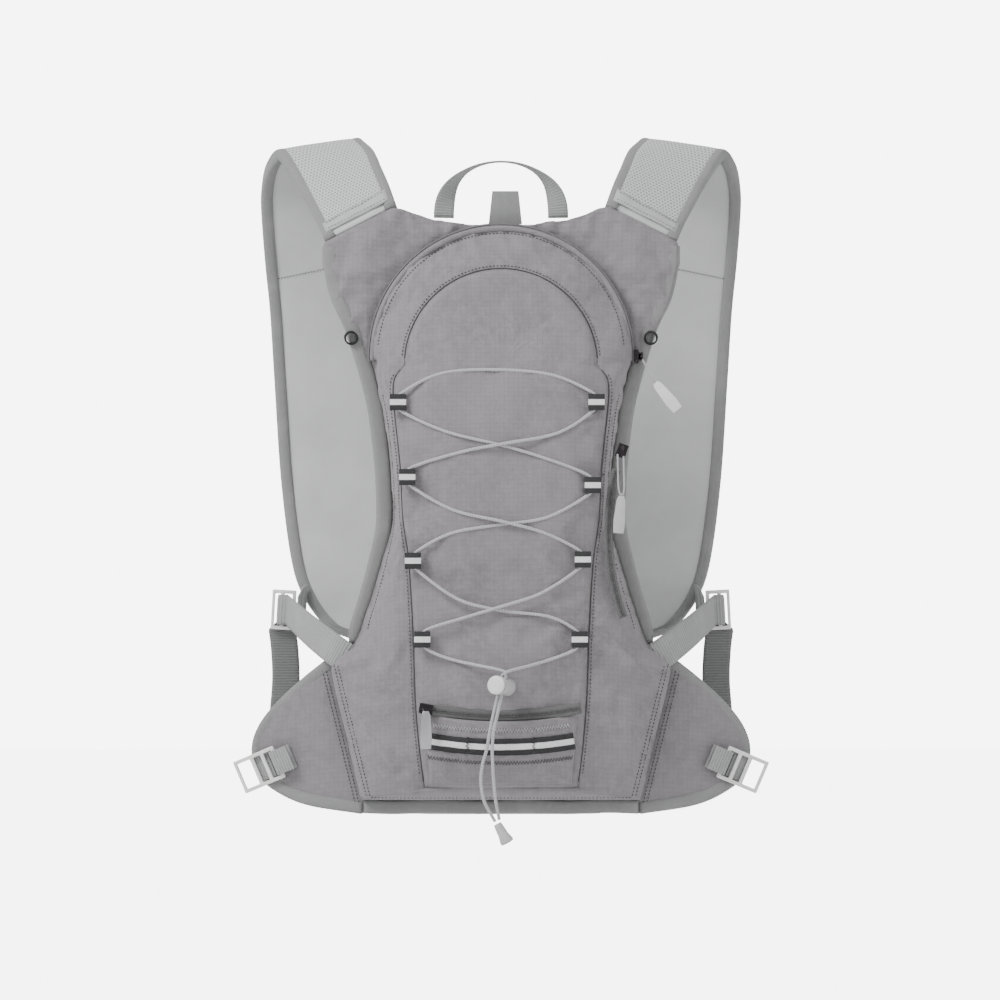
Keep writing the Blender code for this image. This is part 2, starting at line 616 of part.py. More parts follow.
def make_adjuster_web(name, side, look):
    """Webbing sewn to the pack, led round the lock's bar, its free end hanging behind."""
    top, low = mirrored(in_mm((STRAP_LOCK_BAR_TOP, STRAP_LOCK_BAR_LOW)), -side)
    root_top, root_low = mirrored(in_mm((ADJUSTER_ROOT_TOP, ADJUSTER_ROOT_LOW)), -side)
    bar, root = (top + low) / 2, (root_top + root_low) / 2
    bar_way, root_way = (top - low).normalized(), (root_top - root_low).normalized()
    turn = bar_turn()
    centres, ways = [], []
    near = bar + Vector((-side * 4 * MM, -turn, 0))
    bend = Vector((side * ADJUSTER_BEND[0], ADJUSTER_BEND[1], ADJUSTER_BEND[2])) * MM
    for k in range(9):
        share = k / 8
        centres.append(root.lerp(bend, share).lerp(bend.lerp(near, share), share))
        ways.append(root_way.lerp(bar_way, share))
    for k in range(1, 6):
        angle = math.radians(-90 + 36 * k)
        centres.append(bar + Vector((side * math.cos(angle) * turn, math.sin(angle) * turn, 0)))
        ways.append(bar_way)
    hang = centres[-1]
    for inward, back, down in ADJUSTER_TAIL:
        centre_inward = inward - WEB_WIDTH / 2 / MM
        centres.append(hang + Vector((-side * centre_inward, back, -down)) * MM)
        ways.append(Vector((-side, 0, 0)))
    return strip(name, centres, ways, WEB_WIDTH, WEB_THICKNESS, look)


def make_lock_tab(name, side, look):
    """The short webbing that ties the lock to the shoulder strap."""
    frame = strap_lock_frame(side)
    bar_x = STRAP_LOCK_LENGTH - 11.5 * MM
    centres = [frame @ Vector((bar_x + 3.2 * MM, 0, 0))]
    centres.append(Vector((side * 161.5, 12, -364)) * MM)
    centres.append(Vector((side * 158.5, 19.3, -362)) * MM)
    ways = [frame.to_3x3() @ Vector((0, 0, 1))] * 3
    return strip(name, centres, ways, WEB_WIDTH * 0.9, WEB_THICKNESS, look)


# ---- hip fins and their locks --------------------------------------------------------------------------
def fin_y(x):
    """How the fin leans towards the wearer as it leaves the body."""
    start = HIP_SEAM_BOTTOM[0] * MM
    share = max(0, (x - start) / (FIN_EDGE[4][0] * MM - start))
    return BACK_FACE_Y - 2 * MM + FIN_SWEEP * share**2


def make_hip_fin(name, side, look):
    edge = smooth_path([Vector((x, 0, z)) * MM for x, z in FIN_EDGE], 2)
    count = len(edge)
    sections = []
    columns = 4
    for k, tip in enumerate(edge):
        share = k / (count - 1)
        seam = Vector((HIP_SEAM_TOP[0], 0, HIP_SEAM_TOP[1])).lerp(
            Vector((HIP_SEAM_BOTTOM[0], 0, HIP_SEAM_BOTTOM[1])), share) * MM
        seam.x += FIN_HINGE_GAP
        if k in (0, count - 1):
            tip = tip + Vector((3 * MM, 0, 0))
        front = [seam.lerp(tip, j / columns) for j in range(columns + 1)]
        loop = [Vector((p.x * side, fin_y(p.x) - FIN_THICKNESS / 2, p.z)) for p in front]
        loop += [Vector((p.x * side, fin_y(p.x) + FIN_THICKNESS / 2, p.z)) for p in front[::-1]]
        sections.append(loop)
    return from_sections(name, sections, look)


HIP_LOCK_BAR_X = 180 * MM
HIP_LOCK_BAR_Z = -493.5 * MM


def bar_turn():
    """Distance from the middle of a lock's bar to the middle of webbing folded round it."""
    return BAR / 2 * math.sqrt(2) + GAP * 2 + WEB_THICKNESS / 2


def hip_lock_frame(side):
    """Placing matrix of a hip lock: local X outwards from its inner bar, local Z along the bars."""
    step = 1 * MM
    slope = (fin_y(HIP_LOCK_BAR_X + step) - fin_y(HIP_LOCK_BAR_X)) / step
    drop = math.tan(HIP_LOCK_TILT)
    outward = Vector((side, slope, -drop))
    along_bar = Vector((side * drop, 0, 1))
    stand_off = bar_turn() + WEB_THICKNESS / 2 + FIN_THICKNESS / 2 + 2.2 * MM
    return frame_at(Vector((side * HIP_LOCK_BAR_X, fin_y(HIP_LOCK_BAR_X) - stand_off,
                            HIP_LOCK_BAR_Z)), outward, along_bar)


def make_hip_lock(name, side, look):
    half = HIP_LOCK_WIDTH / 2 + 0.7 * MM
    end = HIP_LOCK_LENGTH - BAR / 2
    xs = (-BAR / 2, BAR / 2, 8.5 * MM, 11.5 * MM, 18 * MM, 21 * MM, end - 2.5 * MM, end)
    zs = (-half, -half + BAR, half - BAR, half)
    windows = {(1, 1), (3, 1), (5, 1)}
    return plate(name, xs, zs, lambda i, j: (i, j) not in windows, BAR, look, hip_lock_frame(side))


def make_hip_web(name, side, look):
    """Webbing sewn to the fin's tip and folded round the lock's inner bar."""
    frame = hip_lock_frame(side)
    turn = bar_turn()
    route = [(-13 * MM, -turn), (-6 * MM, -turn)]
    route += [(math.cos(math.radians(a)) * turn, math.sin(math.radians(a)) * turn)
              for a in range(-90, 91, 30)]
    route += [(-6 * MM, turn), (-13 * MM, turn)]
    centres = [frame @ Vector((x, y, 0)) for x, y in route]
    ways = [frame.to_3x3() @ Vector((0, 0, 1))] * len(centres)
    return strip(name, centres, ways, HIP_WEB_WIDTH, WEB_THICKNESS, look)


def make_belt_web(name, side, look):
    """The webbing woven through the lock's bars, seen between them."""
    frame = hip_lock_frame(side)
    behind = (BAR / 2 + GAP + WEB_THICKNESS / 2) * side
    centres = [frame @ Vector((x * MM, behind, 0)) for x in (5.8, 10, 15, 20.5)]
    ways = [frame.to_3x3() @ Vector((0, 0, 1))] * 4
    return strip(name, centres, ways, HIP_WEB_WIDTH, WEB_THICKNESS, look)


# ---- top of the pack --------------------------------------------------------------------------------
HAUL_BASE_X = 46 * MM
HAUL_BASE_Z = -55.5 * MM
HAUL_TOP_Z = -10 * MM
HAUL_Y = BACK_FACE_Y - BACK_PANEL_THICKNESS / 2


def make_haul_loop(look):
    """Webbing handle: flat on the neckline at both ends, turned on edge at the top."""
    centres, ways = [], []
    for k in range(17):
        angle = math.pi * (1 - k / 16)
        rise = math.sin(angle) ** 0.8
        centres.append(Vector((HAUL_BASE_X * math.cos(angle), HAUL_Y,
                               HAUL_BASE_Z + (HAUL_TOP_Z - HAUL_BASE_Z) * rise)))
    for k, centre in enumerate(centres):
        ahead = centres[min(k + 1, 16)] - centres[max(k - 1, 0)]
        flat = Vector((-ahead.z, 0, ahead.x)).normalized()
        turned = math.sin(math.pi * k / 16)
        ways.append((flat * (1 - turned) + Vector((0, -1, 0)) * turned * 1.2).normalized())
    return strip("haul_loop", centres, ways, HAUL_WEB_WIDTH * 0.82, WEB_THICKNESS, look)


def make_tube_port_tab(look):
    """A stiff tab that stands behind the top of the arch."""
    top, low, half_top, half_low = -33.6 * MM, -60.4 * MM, 10.6 * MM, 13.5 * MM
    centre, y, thick = 3.5 * MM, HAUL_Y - 1 * MM, 2 * MM
    sections = []
    for z, half in ((low, half_low), (top, half_top)):
        sections.append([Vector((centre - half, y, z)), Vector((centre + half, y, z)),
                         Vector((centre + half, y + thick, z)),
                         Vector((centre - half, y + thick, z))])
    return from_sections("tube_port_tab", sections, look)


TUBE_LOOP_RADIUS = 5.6 * MM
TUBE_LOOP_WALL = 1.2 * MM
TUBE_LOOP_WIDTH = 5 * MM


def make_ring(name, centre, axis, radius, wall, width, look):
    frame = frame_at(centre, Vector((0.3, 0.2, 1)), axis)
    bm = bmesh.new()
    corners = ((radius, -width / 2), (radius, width / 2),
               (radius - wall, width / 2), (radius - wall, -width / 2))
    loops = []
    for k in range(16):
        angle = 2 * math.pi * k / 16
        loops.append([bm.verts.new(frame @ Vector((r * math.cos(angle), r * math.sin(angle), h)))
                      for r, h in corners])
    for k in range(16):
        a, b = loops[k], loops[(k + 1) % 16]
        for i in range(4):
            j = (i + 1) % 4
            bm.faces.new((a[i], a[j], b[j], b[i]))
    return add_piece(name, bm, look)


# ---- zips -----------------------------------------------------------------------------------------------
def arc_band(name, centre, y_centre, radius, start, stop, steps, height, depth, look):
    """A band swept about a Y axis: height is radial, depth along Y. Angles are from +X up."""
    sections = []
    for k in range(steps + 1):
        angle = start + (stop - start) * k / steps
        way = Vector((math.cos(angle), 0, math.sin(angle)))
        base = Vector((centre[0], y_centre, centre[1]))
        sections.append([base + way * (radius + r) + Vector((0, y, 0))
                         for r, y in ((-height / 2, -depth / 2), (height / 2, -depth / 2),
                                      (height / 2, depth / 2), (-height / 2, depth / 2))])
    return from_sections(name, sections, look)


def slider(name, place, look):
    """A zip slider: local X along the zip, local Y out of it. A low bridge carries its pull."""
    length, width, thick = SLIDER_LENGTH, SLIDER_WIDTH, SLIDER_THICKNESS
    bridge_low, bridge_high, leg = thick / 2, thick / 2 + 3.6 * MM, 1.4 * MM
    bridge_half = BRIDGE_WIDTH / 2
    base_mesh = bmesh.new()
    bmesh.ops.create_cube(base_mesh, size=1, matrix=Matrix.Diagonal((length, thick, width, 1)))
    base = add_piece(name, base_mesh, look)
    leg_x = length * 0.3
    outer = ((-leg_x, bridge_low - 0.6 * MM), (leg_x, bridge_low - 0.6 * MM),
             (leg_x, bridge_high), (-leg_x, bridge_high))
    hole = ((-leg_x + leg, bridge_low + 0.2 * MM), (leg_x - leg, bridge_low + 0.2 * MM),
            (leg_x - leg, bridge_high - leg), (-leg_x + leg, bridge_high - leg))
    arch = bmesh.new()
    rings = []
    for z in (-bridge_half, bridge_half):
        rings.append(([arch.verts.new((x, y, z)) for x, y in outer],
                      [arch.verts.new((x, y, z)) for x, y in hole]))
    for i in range(4):
        j = (i + 1) % 4
        for ring in rings:
            arch.faces.new((ring[0][i], ring[0][j], ring[1][j], ring[1][i]))
        arch.faces.new((rings[0][0][i], rings[0][0][j], rings[1][0][j], rings[1][0][i]))
        arch.faces.new((rings[0][1][i], rings[0][1][j], rings[1][1][j], rings[1][1][i]))
    tool = add_piece(name + "_bridge", arch, look)
    tool.hide_render = True
    tool.display_type = "WIRE"
    join = base.modifiers.new("bridge", "BOOLEAN")
    join.operation = "UNION"
    join.solver = "EXACT"
    join.object = tool
    for piece in (base, tool):
        piece.data.transform(place)
    return base


def bridge_hole(place):
    """The middle of the hole under a slider's bridge."""
    return place @ Vector((0, SLIDER_THICKNESS / 2 + 1.2 * MM, 0))


def pull_tab(name, top, low, face_way, look):
    """A moulded pull: a tapered bar, wider at its low end."""
    way = (low - top).normalized()
    across = way.cross(face_way).normalized()
    face = across.cross(way).normalized()
    sections = []
    for share, half, thick in ((0, 2.2, 1.2), (0.12, 3.6, 1.6), (0.7, 4.8, 1.6), (1, 4.2, 1.2)):
        at = top.lerp(low, share)
        a, f = across * half * MM, face * thick * MM
        sections.append([at - a - f, at + a - f, at + a + f, at - a + f])
    return from_sections(name, sections, look)


FRONT_SLIDER_X = -60 * MM


def front_slider_place():
    z = front_zip_z(FRONT_SLIDER_X, 0)
    centre = front_zip_centre()
    out = Vector((FRONT_SLIDER_X, 0, z - centre.z)).normalized()
    tangent = Vector((-out.z, 0, out.x))
    y = front_zip_y() - ZIP_THICKNESS / 2 - GAP - SLIDER_THICKNESS / 2
    at = Vector((FRONT_SLIDER_X, y, z))
    return Matrix.Translation(at) @ Matrix((tangent, (0, -1, 0), tangent.cross(
        Vector((0, -1, 0))))).transposed().to_4x4()


def side_zip_centre():
    return Vector((SIDE_ZIP_WAIST_X + SIDE_ZIP_RADIUS, 0, SIDE_ZIP_WAIST_Z))


def side_zip_y():
    return BAG_BASE_Y - BAG_DEPTH * 0.9


def side_slider_place():
    centre = side_zip_centre()
    angle = math.pi - math.asin((SIDE_ZIP_TOP_Z - centre.z) / SIDE_ZIP_RADIUS)
    out = Vector((math.cos(angle), 0, math.sin(angle)))
    at = centre + out * SIDE_ZIP_RADIUS
    at.y = side_zip_y() - ZIP_THICKNESS / 2 - GAP - SLIDER_THICKNESS / 2
    tangent = Vector((out.z, 0, -out.x))
    return Matrix.Translation(at) @ Matrix((tangent, (0, -1, 0), tangent.cross(
        Vector((0, -1, 0))))).transposed().to_4x4()


def main_slider_place():
    out = Vector((1, 0, 0))
    radius = ARCH_RADIUS + 0.8 * MM + ZIP_THICKNESS + GAP + SLIDER_THICKNESS / 2
    at = Vector((0, MAIN_ZIP_Y, ARCH_CENTRE_Z)) + out * radius
    tangent = Vector((-out.z, 0, out.x))
    return Matrix.Translation(at) @ Matrix((tangent, out, tangent.cross(out))).transposed().to_4x4()


def cord_loop(start, stop, spread, ways):
    """Route of a doubled pull cord: out from the slider, round the pull's eye and back."""
    side = ways.normalized() * spread / 2
    down = (stop - start).normalized()
    return [start + side, start.lerp(stop, 0.4) + side, start.lerp(stop, 0.8) + side,
            stop + side * 0.6 + down * 0.6 * MM, stop + down * 1.1 * MM,
            stop - side * 0.6 + down * 0.6 * MM, start.lerp(stop, 0.8) - side,
            start.lerp(stop, 0.4) - side, start - side]


# ---- cord lock ---------------------------------------------------------------------------------------------
def cord_lock_frame():
    """Local X up along the cords, local Z out through the button."""
    along_cords = Vector((CORD_LEAN, 0, 1)).normalized()
    out = Vector((-0.40, -0.86, 0.30))
    out -= along_cords * out.dot(along_cords)
    return frame_at(Vector(LOCK_CENTRE) * MM, along_cords, out)


def in_lock(side, *heights):
    """Points on the left (-1) or right (1) cord as it runs through the lock."""
    frame = cord_lock_frame()
    return [frame @ (Vector((height, -side * CORD_SPACING / 2, 0)) * MM) for height in heights]


def make_cord_tail(name, side, route, look):
    """One free end of the lacing, from the middle of the lock down to the cord end."""
    hanging = in_mm([(x, BAG_FRONT + y, z) for x, y, z in route])
    points = in_lock(side, -CORD_MEET, -10, -LOCK_RUN) + hanging
    return tube(name, smooth_path(points, 2), CORD_DIAMETER, look)


def turned(name, profile, look, segments=20, stretch=1.0):
    """A solid turned about local Z from (radius, height) points that start and end on the axis."""
    bm = bmesh.new()
    rings = []
    for radius, height in profile:
        rings.append([bm.verts.new((radius * math.cos(2 * math.pi * k / segments),
                                    radius * stretch * math.sin(2 * math.pi * k / segments), height))
                      for k in range(segments)])
    for a, b in zip(rings, rings[1:]):
        for i in range(segments):
            j = (i + 1) % segments
            bm.faces.new((a[i], a[j], b[j], b[i]))
    bm.faces.new(rings[0][::-1])
    bm.faces.new(rings[-1])
    return add_piece(name, bm, look)


def cut_slot(piece, low, high, width):
    """Cut a slot along local X through a turned piece, between two heights."""
    bm = bmesh.new()
    size = (4 * LOCK_RADIUS, width, high - low)
    bmesh.ops.create_cube(bm, size=1, matrix=Matrix.Translation((0, 0, (low + high) / 2))
                          @ Matrix.Diagonal((*size, 1)))
    cutter = add_piece(piece.name + "_slot", bm, piece.data.materials[0])
    cutter.hide_render = True
    cutter.display_type = "WIRE"
    cut = piece.modifiers.new("slot", "BOOLEAN")
    cut.operation = "DIFFERENCE"
    cut.solver = "EXACT"
    cut.object = cutter
    return cutter


def make_cord_lock(look, spring_look):
    slot_half = CORD_DIAMETER / 2 + 0.7 * MM
    slot_width = 2 * CORD_DIAMETER + 2.2 * MM
    back, floor = -12 * MM, -11 * MM
    front = back + LOCK_LENGTH
    bore = LOCK_STEM_RADIUS + 0.25 * MM
    barrel = turned("cord_lock_barrel", ((0.6 * LOCK_RADIUS, back), (LOCK_RADIUS, back + 1.5 * MM),
                                         (LOCK_RADIUS, front), (bore, front), (bore, floor)), look)
    stem_low = -slot_half - 1.2 * MM
    button_low = front + LOCK_TRAVEL + 0.3 * MM
    button = turned("cord_lock_button", ((LOCK_STEM_RADIUS, stem_low),
                                         (LOCK_STEM_RADIUS, button_low),
                                         (LOCK_BUTTON_RADIUS, button_low),
                                         (LOCK_BUTTON_RADIUS, button_low + 1.8 * MM),
                                         (LOCK_BUTTON_RADIUS * 0.7, button_low + 3 * MM)), look)
    cutters = [cut_slot(barrel, -slot_half, slot_half, slot_width),
               cut_slot(button, -slot_half, slot_half + LOCK_TRAVEL, slot_width)]
    coil = []
    top = stem_low - LOCK_TRAVEL - 0.4 * MM
    wire = 0.6 * MM
    low = floor + wire
    for k in range(31):
        angle = 2 * math.pi * k / 12
        coil.append(Vector((3.4 * MM * math.cos(angle), 3.4 * MM * math.sin(angle),
                            low + (top - wire - low) * k / 30)))
    frame = cord_lock_frame()
    spring = tube("cord_lock_spring", [frame @ p for p in coil], wire, spring_look)
    for piece in (barrel, button, *cutters):
        piece.data.transform(frame)
    return barrel, button, spring


# ---- lacing ------------------------------------------------------------------------------------------------
def make_cord_tab(name, x, z, look):
    """A flat tunnel of tape for the cord to run through, up and down."""
    half, deep = TAB_SIZE / 2, TAB_DEPTH / 2
    under = min(front_y(x + dx, z + dz) for dx in (-half, 0, half) for dz in (-half, 0, half))
    y = under - GAP * 2 - deep
    rings = []
    for height in (z - half, z + half):
        rings.append(([Vector((x + a * half, y + b * deep, height))
                       for a, b in ((-1, -1), (1, -1), (1, 1), (-1, 1))],
                      [Vector((x + a * (half - TAB_WALL), y + b * (deep - TAB_WALL), height))
                       for a, b in ((-1, -1), (1, -1), (1, 1), (-1, 1))]))
    bm = bmesh.new()
    made = [([bm.verts.new(p) for p in outer], [bm.verts.new(p) for p in inner])
            for outer, inner in rings]
    for i in range(4):
        j = (i + 1) % 4
        for outer, inner in made:
            bm.faces.new((outer[i], outer[j], inner[j], inner[i]))
        bm.faces.new((made[0][0][i], made[0][0][j], made[1][0][j], made[1][0][i]))
        bm.faces.new((made[0][1][i], made[0][1][j], made[1][1][j], made[1][1][i]))
    return add_piece(name, bm, look)


def tab_y(x, z):
    """Depth of the middle of a cord tab."""
    half = TAB_SIZE / 2
    under = min(front_y(x + dx, z + dz) for dx in (-half, 0, half) for dz in (-half, 0, half))
    return under - GAP * 2 - TAB_DEPTH / 2


def lacing_points():
    """The lacing's own points, level with each tab where it runs through one."""
    points = in_lock(-1, CORD_MEET, 4, 8, 12)
    for x, lift, z in LACING_ROUTE:
        px, pz = x * MM, z * MM
        y = front_y(px, pz) - lift * MM - CORD_DIAMETER / 2
        for tx, tz in TAB_CENTRES:
            if abs(x - tx) < 8 and abs(z - tz) < 10.5:
                y = tab_y(tx * MM, tz * MM)
        points.append(Vector((px, y, pz)))
    return points + in_lock(1, 12, 8, 4, CORD_MEET)


def make_cord_end(look):
    """The bell-shaped grip on the two cord ends."""
    top = Vector((-3.0, BAG_FRONT - 14, -541)) * MM
    low = Vector((5.5, BAG_FRONT - 14, -556.6)) * MM
    profile = ((1.9, 0), (3.1, 0), (3.6, 3), (4.2, 10), (5.6, 15.5), (5.2, 17.4), (2, 17.8))
    piece = turned("cord_end", [(r * MM, -h * MM) for r, h in profile], look, segments=16)
    piece.data.transform(frame_at(top, Vector((1, 0, 0)), top - low))
    return piece


# ---- build -------------------------------------------------------------------------------------------------
def build():
    clear_scene()
    ripstop = material("ripstop_fabric", (0.30, 0.285, 0.30), 0.75)
    lining = material("lining_fabric", (0.46, 0.47, 0.46), 0.85)
    mesh = material("spacer_mesh", (0.62, 0.63, 0.63), 0.85)
    tape = material("binding_tape", (0.25, 0.26, 0.25), 0.85)
    web = material("webbing", (0.42, 0.43, 0.43), 0.8)
    light = material("light_plastic", (0.72, 0.72, 0.71), 0.45)
    grey = material("grey_plastic", (0.50, 0.49, 0.50), 0.4)
    dark = material("dark_metal", (0.05, 0.045, 0.05), 0.35, 1.0)
    reflective = material("reflective_tape", (0.85, 0.85, 0.86), 0.35)
    black = material("black_tape", (0.02, 0.02, 0.02), 0.8)
    elastic = material("elastic_cord", (0.55, 0.55, 0.57), 0.7)
    steel = material("spring_steel", (0.5, 0.5, 0.52), 0.3, 1.0)

    make_back_panel(mesh)
    make_main_bag(ripstop)
    make_front_panel(ripstop)
    make_front_pocket(ripstop)
    make_bottom_binding(tape)
    make_bladder_sleeve(lining)
    make_bladder_hanger(web)
    make_tube_port_tab(tape)
    pivot("haul_loop_pivot", (0, HAUL_Y, HAUL_BASE_Z), [make_haul_loop(web)])

    for word, side in (("left", -1), ("right", 1)):
        make_yoke_panel("yoke_panel_" + word, side, ripstop)
        make_armhole_binding("armhole_binding_" + word, side, tape)
        make_strap("shoulder_strap_" + word, side, lining)
        make_strap_mesh("strap_mesh_" + word, side, mesh)
        make_adjuster_web("adjuster_web_" + word, side, web)
        make_lock_tab("lock_tab_" + word, side, web)
        lock = make_strap_lock("strap_lock_" + word, side, light)
        pivot("strap_lock_pivot_" + word, strap_lock_frame(side).translation, [lock])
        fin = make_hip_fin("hip_fin_" + word, side, ripstop)
        fin_web = make_hip_web("hip_web_" + word, side, web)
        hip_lock = make_hip_lock("hip_lock_" + word, side, light)
        belt = make_belt_web("belt_web_" + word, side, web)
        seam = Vector((side * HIP_SEAM_BOTTOM[0], 0, HIP_SEAM_BOTTOM[1])) * MM
        seam.y = BACK_FACE_Y - 2 * MM
        pivot("hip_fin_pivot_" + word, seam, [fin, fin_web])
        pivot("hip_lock_pivot_" + word, hip_lock_frame(side).translation, [hip_lock, belt])
        make_ring("tube_loop_" + word, Vector((side * 120.6, -86, -152)) * MM,
                  Vector((0.15 * side, 1, 0.2)), TUBE_LOOP_RADIUS, TUBE_LOOP_WALL,
                  TUBE_LOOP_WIDTH, black)

    arch = (0, ARCH_CENTRE_Z)
    arc_band("main_zip", arch, MAIN_ZIP_Y, ARCH_RADIUS + 0.8 * MM + ZIP_THICKNESS / 2,
             math.radians(-3), math.radians(183), 30, ZIP_THICKNESS, ZIP_WIDTH, tape)
    main_place = main_slider_place()
    main_slider = slider("main_zip_slider", main_place, dark)
    eye = bridge_hole(main_place)
    grip_top, grip_low = Vector((124, -97, -188)) * MM, Vector((142, -97, -210)) * MM
    grip_way = (grip_low - grip_top).normalized()
    main_cord = tube("main_pull_cord", smooth_path(cord_loop(
        eye + grip_way * 3.2 * MM, grip_top - grip_way * 2.2 * MM,
        PULL_CORD_SPREAD, Vector((0, 1, 0))), 2), PULL_CORD_DIAMETER, elastic)
    main_tab = pull_tab("main_pull_tab", grip_top, grip_low, Vector((0, -1, 0)), light)
    pivot("main_slider_pivot", (0, MAIN_ZIP_Y, ARCH_CENTRE_Z), [main_slider])
    pivot("main_pull_pivot", eye, [main_cord, main_tab])

    centre = side_zip_centre()
    top_angle = math.pi - math.asin((SIDE_ZIP_TOP_Z + 8 * MM - centre.z) / SIDE_ZIP_RADIUS)
    low_angle = math.pi - math.asin((SIDE_ZIP_BOTTOM_Z - centre.z) / SIDE_ZIP_RADIUS)
    arc_band("side_zip", (centre.x, centre.z), side_zip_y(), SIDE_ZIP_RADIUS, top_angle,
             low_angle, 16, ZIP_WIDTH, ZIP_THICKNESS, tape)
    side_place = side_slider_place()
    side_slider = slider("side_zip_slider", side_place, dark)
    eye = bridge_hole(side_place)
    grip_top = eye + Vector((-0.5, -1.5, -36)) * MM
    grip_low = eye + Vector((-3, -1.5, -66)) * MM
    side_cord = tube("side_pull_cord", smooth_path(cord_loop(
        eye + Vector((-1.2, -0.6, -3.4)) * MM, grip_top + Vector((0, 0, 2.2)) * MM,
        PULL_CORD_SPREAD, side_place.to_3x3() @ Vector((0, 0, 1))), 2), PULL_CORD_DIAMETER, elastic)
    side_tab = pull_tab("side_pull_tab", grip_top, grip_low, Vector((0, -1, 0)), grey)
    pivot("side_slider_pivot", centre, [side_slider])
    pivot("side_pull_pivot", eye, [side_cord, side_tab])

    low = front_zip_centre()
    sweep = math.asin((FRONT_ZIP_HALF_LENGTH + 4 * MM) / FRONT_ZIP_RADIUS)
    arc_band("front_zip", (0, low.z), front_zip_y(), FRONT_ZIP_RADIUS, -math.pi / 2 - sweep,
             -math.pi / 2 + sweep, 12, ZIP_WIDTH, ZIP_THICKNESS, tape)
    front_place = front_slider_place()
    front_slider = slider("front_zip_slider", front_place, dark)
    eye = bridge_hole(front_place)
    front_pull = pull_tab("front_zip_pull", eye + Vector((0, -4, -1.5)) * MM,
                          eye + Vector((0, -4, -32)) * MM, Vector((0, -1, 0)), dark)
    pivot("front_slider_pivot", low, [front_slider])
    pivot("front_pull_pivot", eye, [front_pull])

    arc_band("reflective_band", (0, low.z), front_y(0, FRONT_ZIP_LOW_Z) - POCKET_BULGE - 3.6 * MM,
             FRONT_ZIP_RADIUS + 25 * MM, -math.pi / 2 - 0.165, -math.pi / 2 + 0.165, 12,
             TAB_SIZE, 0.9 * MM, reflective)

    for k, (x, z) in enumerate(TAB_CENTRES):
        word = "left" if x < 0 else "right"
        make_cord_tab(f"cord_tab_{word}_{k % 4 + 1}", x * MM, z * MM, reflective)
    tube("lacing_cord", smooth_path(lacing_points(), 2), CORD_DIAMETER, elastic)
    barrel, button, spring = make_cord_lock(grey, steel)
    origin = Vector(LOCK_CENTRE) * MM
    pivot("cord_lock_pivot", origin, [barrel, spring])
    pivot("cord_lock_button_pivot", origin, [button])
    make_cord_tail("cord_tail_left", -1, TAIL_LEFT_ROUTE, elastic)
    make_cord_tail("cord_tail_right", 1, TAIL_RIGHT_ROUTE, elastic)
    make_cord_end(grey)


build()
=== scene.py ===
"""The daypack's looks: cloth, padding, webbing, cords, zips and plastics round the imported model."""
import math

import bmesh
import bpy
from mathutils import Matrix, Vector, noise
from mathutils.bvhtree import BVHTree


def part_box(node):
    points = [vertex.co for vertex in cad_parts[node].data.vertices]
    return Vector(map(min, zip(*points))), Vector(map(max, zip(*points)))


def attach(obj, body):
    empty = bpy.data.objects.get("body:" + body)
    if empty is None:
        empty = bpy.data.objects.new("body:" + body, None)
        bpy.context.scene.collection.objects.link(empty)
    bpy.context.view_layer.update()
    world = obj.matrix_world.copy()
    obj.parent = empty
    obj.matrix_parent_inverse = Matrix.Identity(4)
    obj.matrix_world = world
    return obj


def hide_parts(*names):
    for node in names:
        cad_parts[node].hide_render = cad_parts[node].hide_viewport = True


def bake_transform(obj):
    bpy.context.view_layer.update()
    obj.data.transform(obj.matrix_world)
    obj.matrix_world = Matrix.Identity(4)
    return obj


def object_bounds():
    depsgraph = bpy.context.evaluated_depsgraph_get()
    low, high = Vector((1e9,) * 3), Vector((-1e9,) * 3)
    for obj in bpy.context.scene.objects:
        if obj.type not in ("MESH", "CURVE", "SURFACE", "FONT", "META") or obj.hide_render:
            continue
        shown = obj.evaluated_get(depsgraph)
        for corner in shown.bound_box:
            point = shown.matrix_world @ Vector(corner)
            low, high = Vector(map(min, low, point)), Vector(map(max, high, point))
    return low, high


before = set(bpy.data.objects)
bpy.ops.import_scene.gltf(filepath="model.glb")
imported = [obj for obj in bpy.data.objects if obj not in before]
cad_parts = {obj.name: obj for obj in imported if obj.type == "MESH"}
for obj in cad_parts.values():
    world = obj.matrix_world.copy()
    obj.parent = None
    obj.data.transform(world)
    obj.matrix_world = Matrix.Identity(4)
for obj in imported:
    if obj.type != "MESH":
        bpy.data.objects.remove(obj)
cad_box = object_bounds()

MM = 0.001
UP = Vector((0, 0, 1))
OUT = Vector((0, -1, 0))             # away from the wearer


# ---- camera, lights and floor ------------------------------------------------------------------------
LENS = 400                            # a long lens, millimetres: the pack is seen almost square on
SENSOR = 36
VIEW_WIDTH = 0.8
FRONT_Y = -0.135
VIEW_CENTRE = (-0.0008, -0.2824)


def set_camera():
    distance = VIEW_WIDTH * LENS / SENSOR
    data = bpy.data.cameras.new("camera")
    data.lens = LENS
    data.sensor_width = SENSOR
    data.clip_end = 100
    camera = bpy.data.objects.new("camera", data)
    camera.location = (VIEW_CENTRE[0], FRONT_Y - distance, VIEW_CENTRE[1])
    camera.rotation_euler = (math.radians(90), 0, 0)
    bpy.context.scene.collection.objects.link(camera)
    bpy.context.scene.camera = camera


def add_light(name, place, aim, size, power, colour=(1, 1, 1)):
    data = bpy.data.lights.new(name, "AREA")
    data.size = size
    data.energy = power
    data.color = colour
    light = bpy.data.objects.new(name, data)
    light.location = place
    light.rotation_euler = (Vector(aim) - Vector(place)).to_track_quat("-Z", "Y").to_euler()
    bpy.context.scene.collection.objects.link(light)


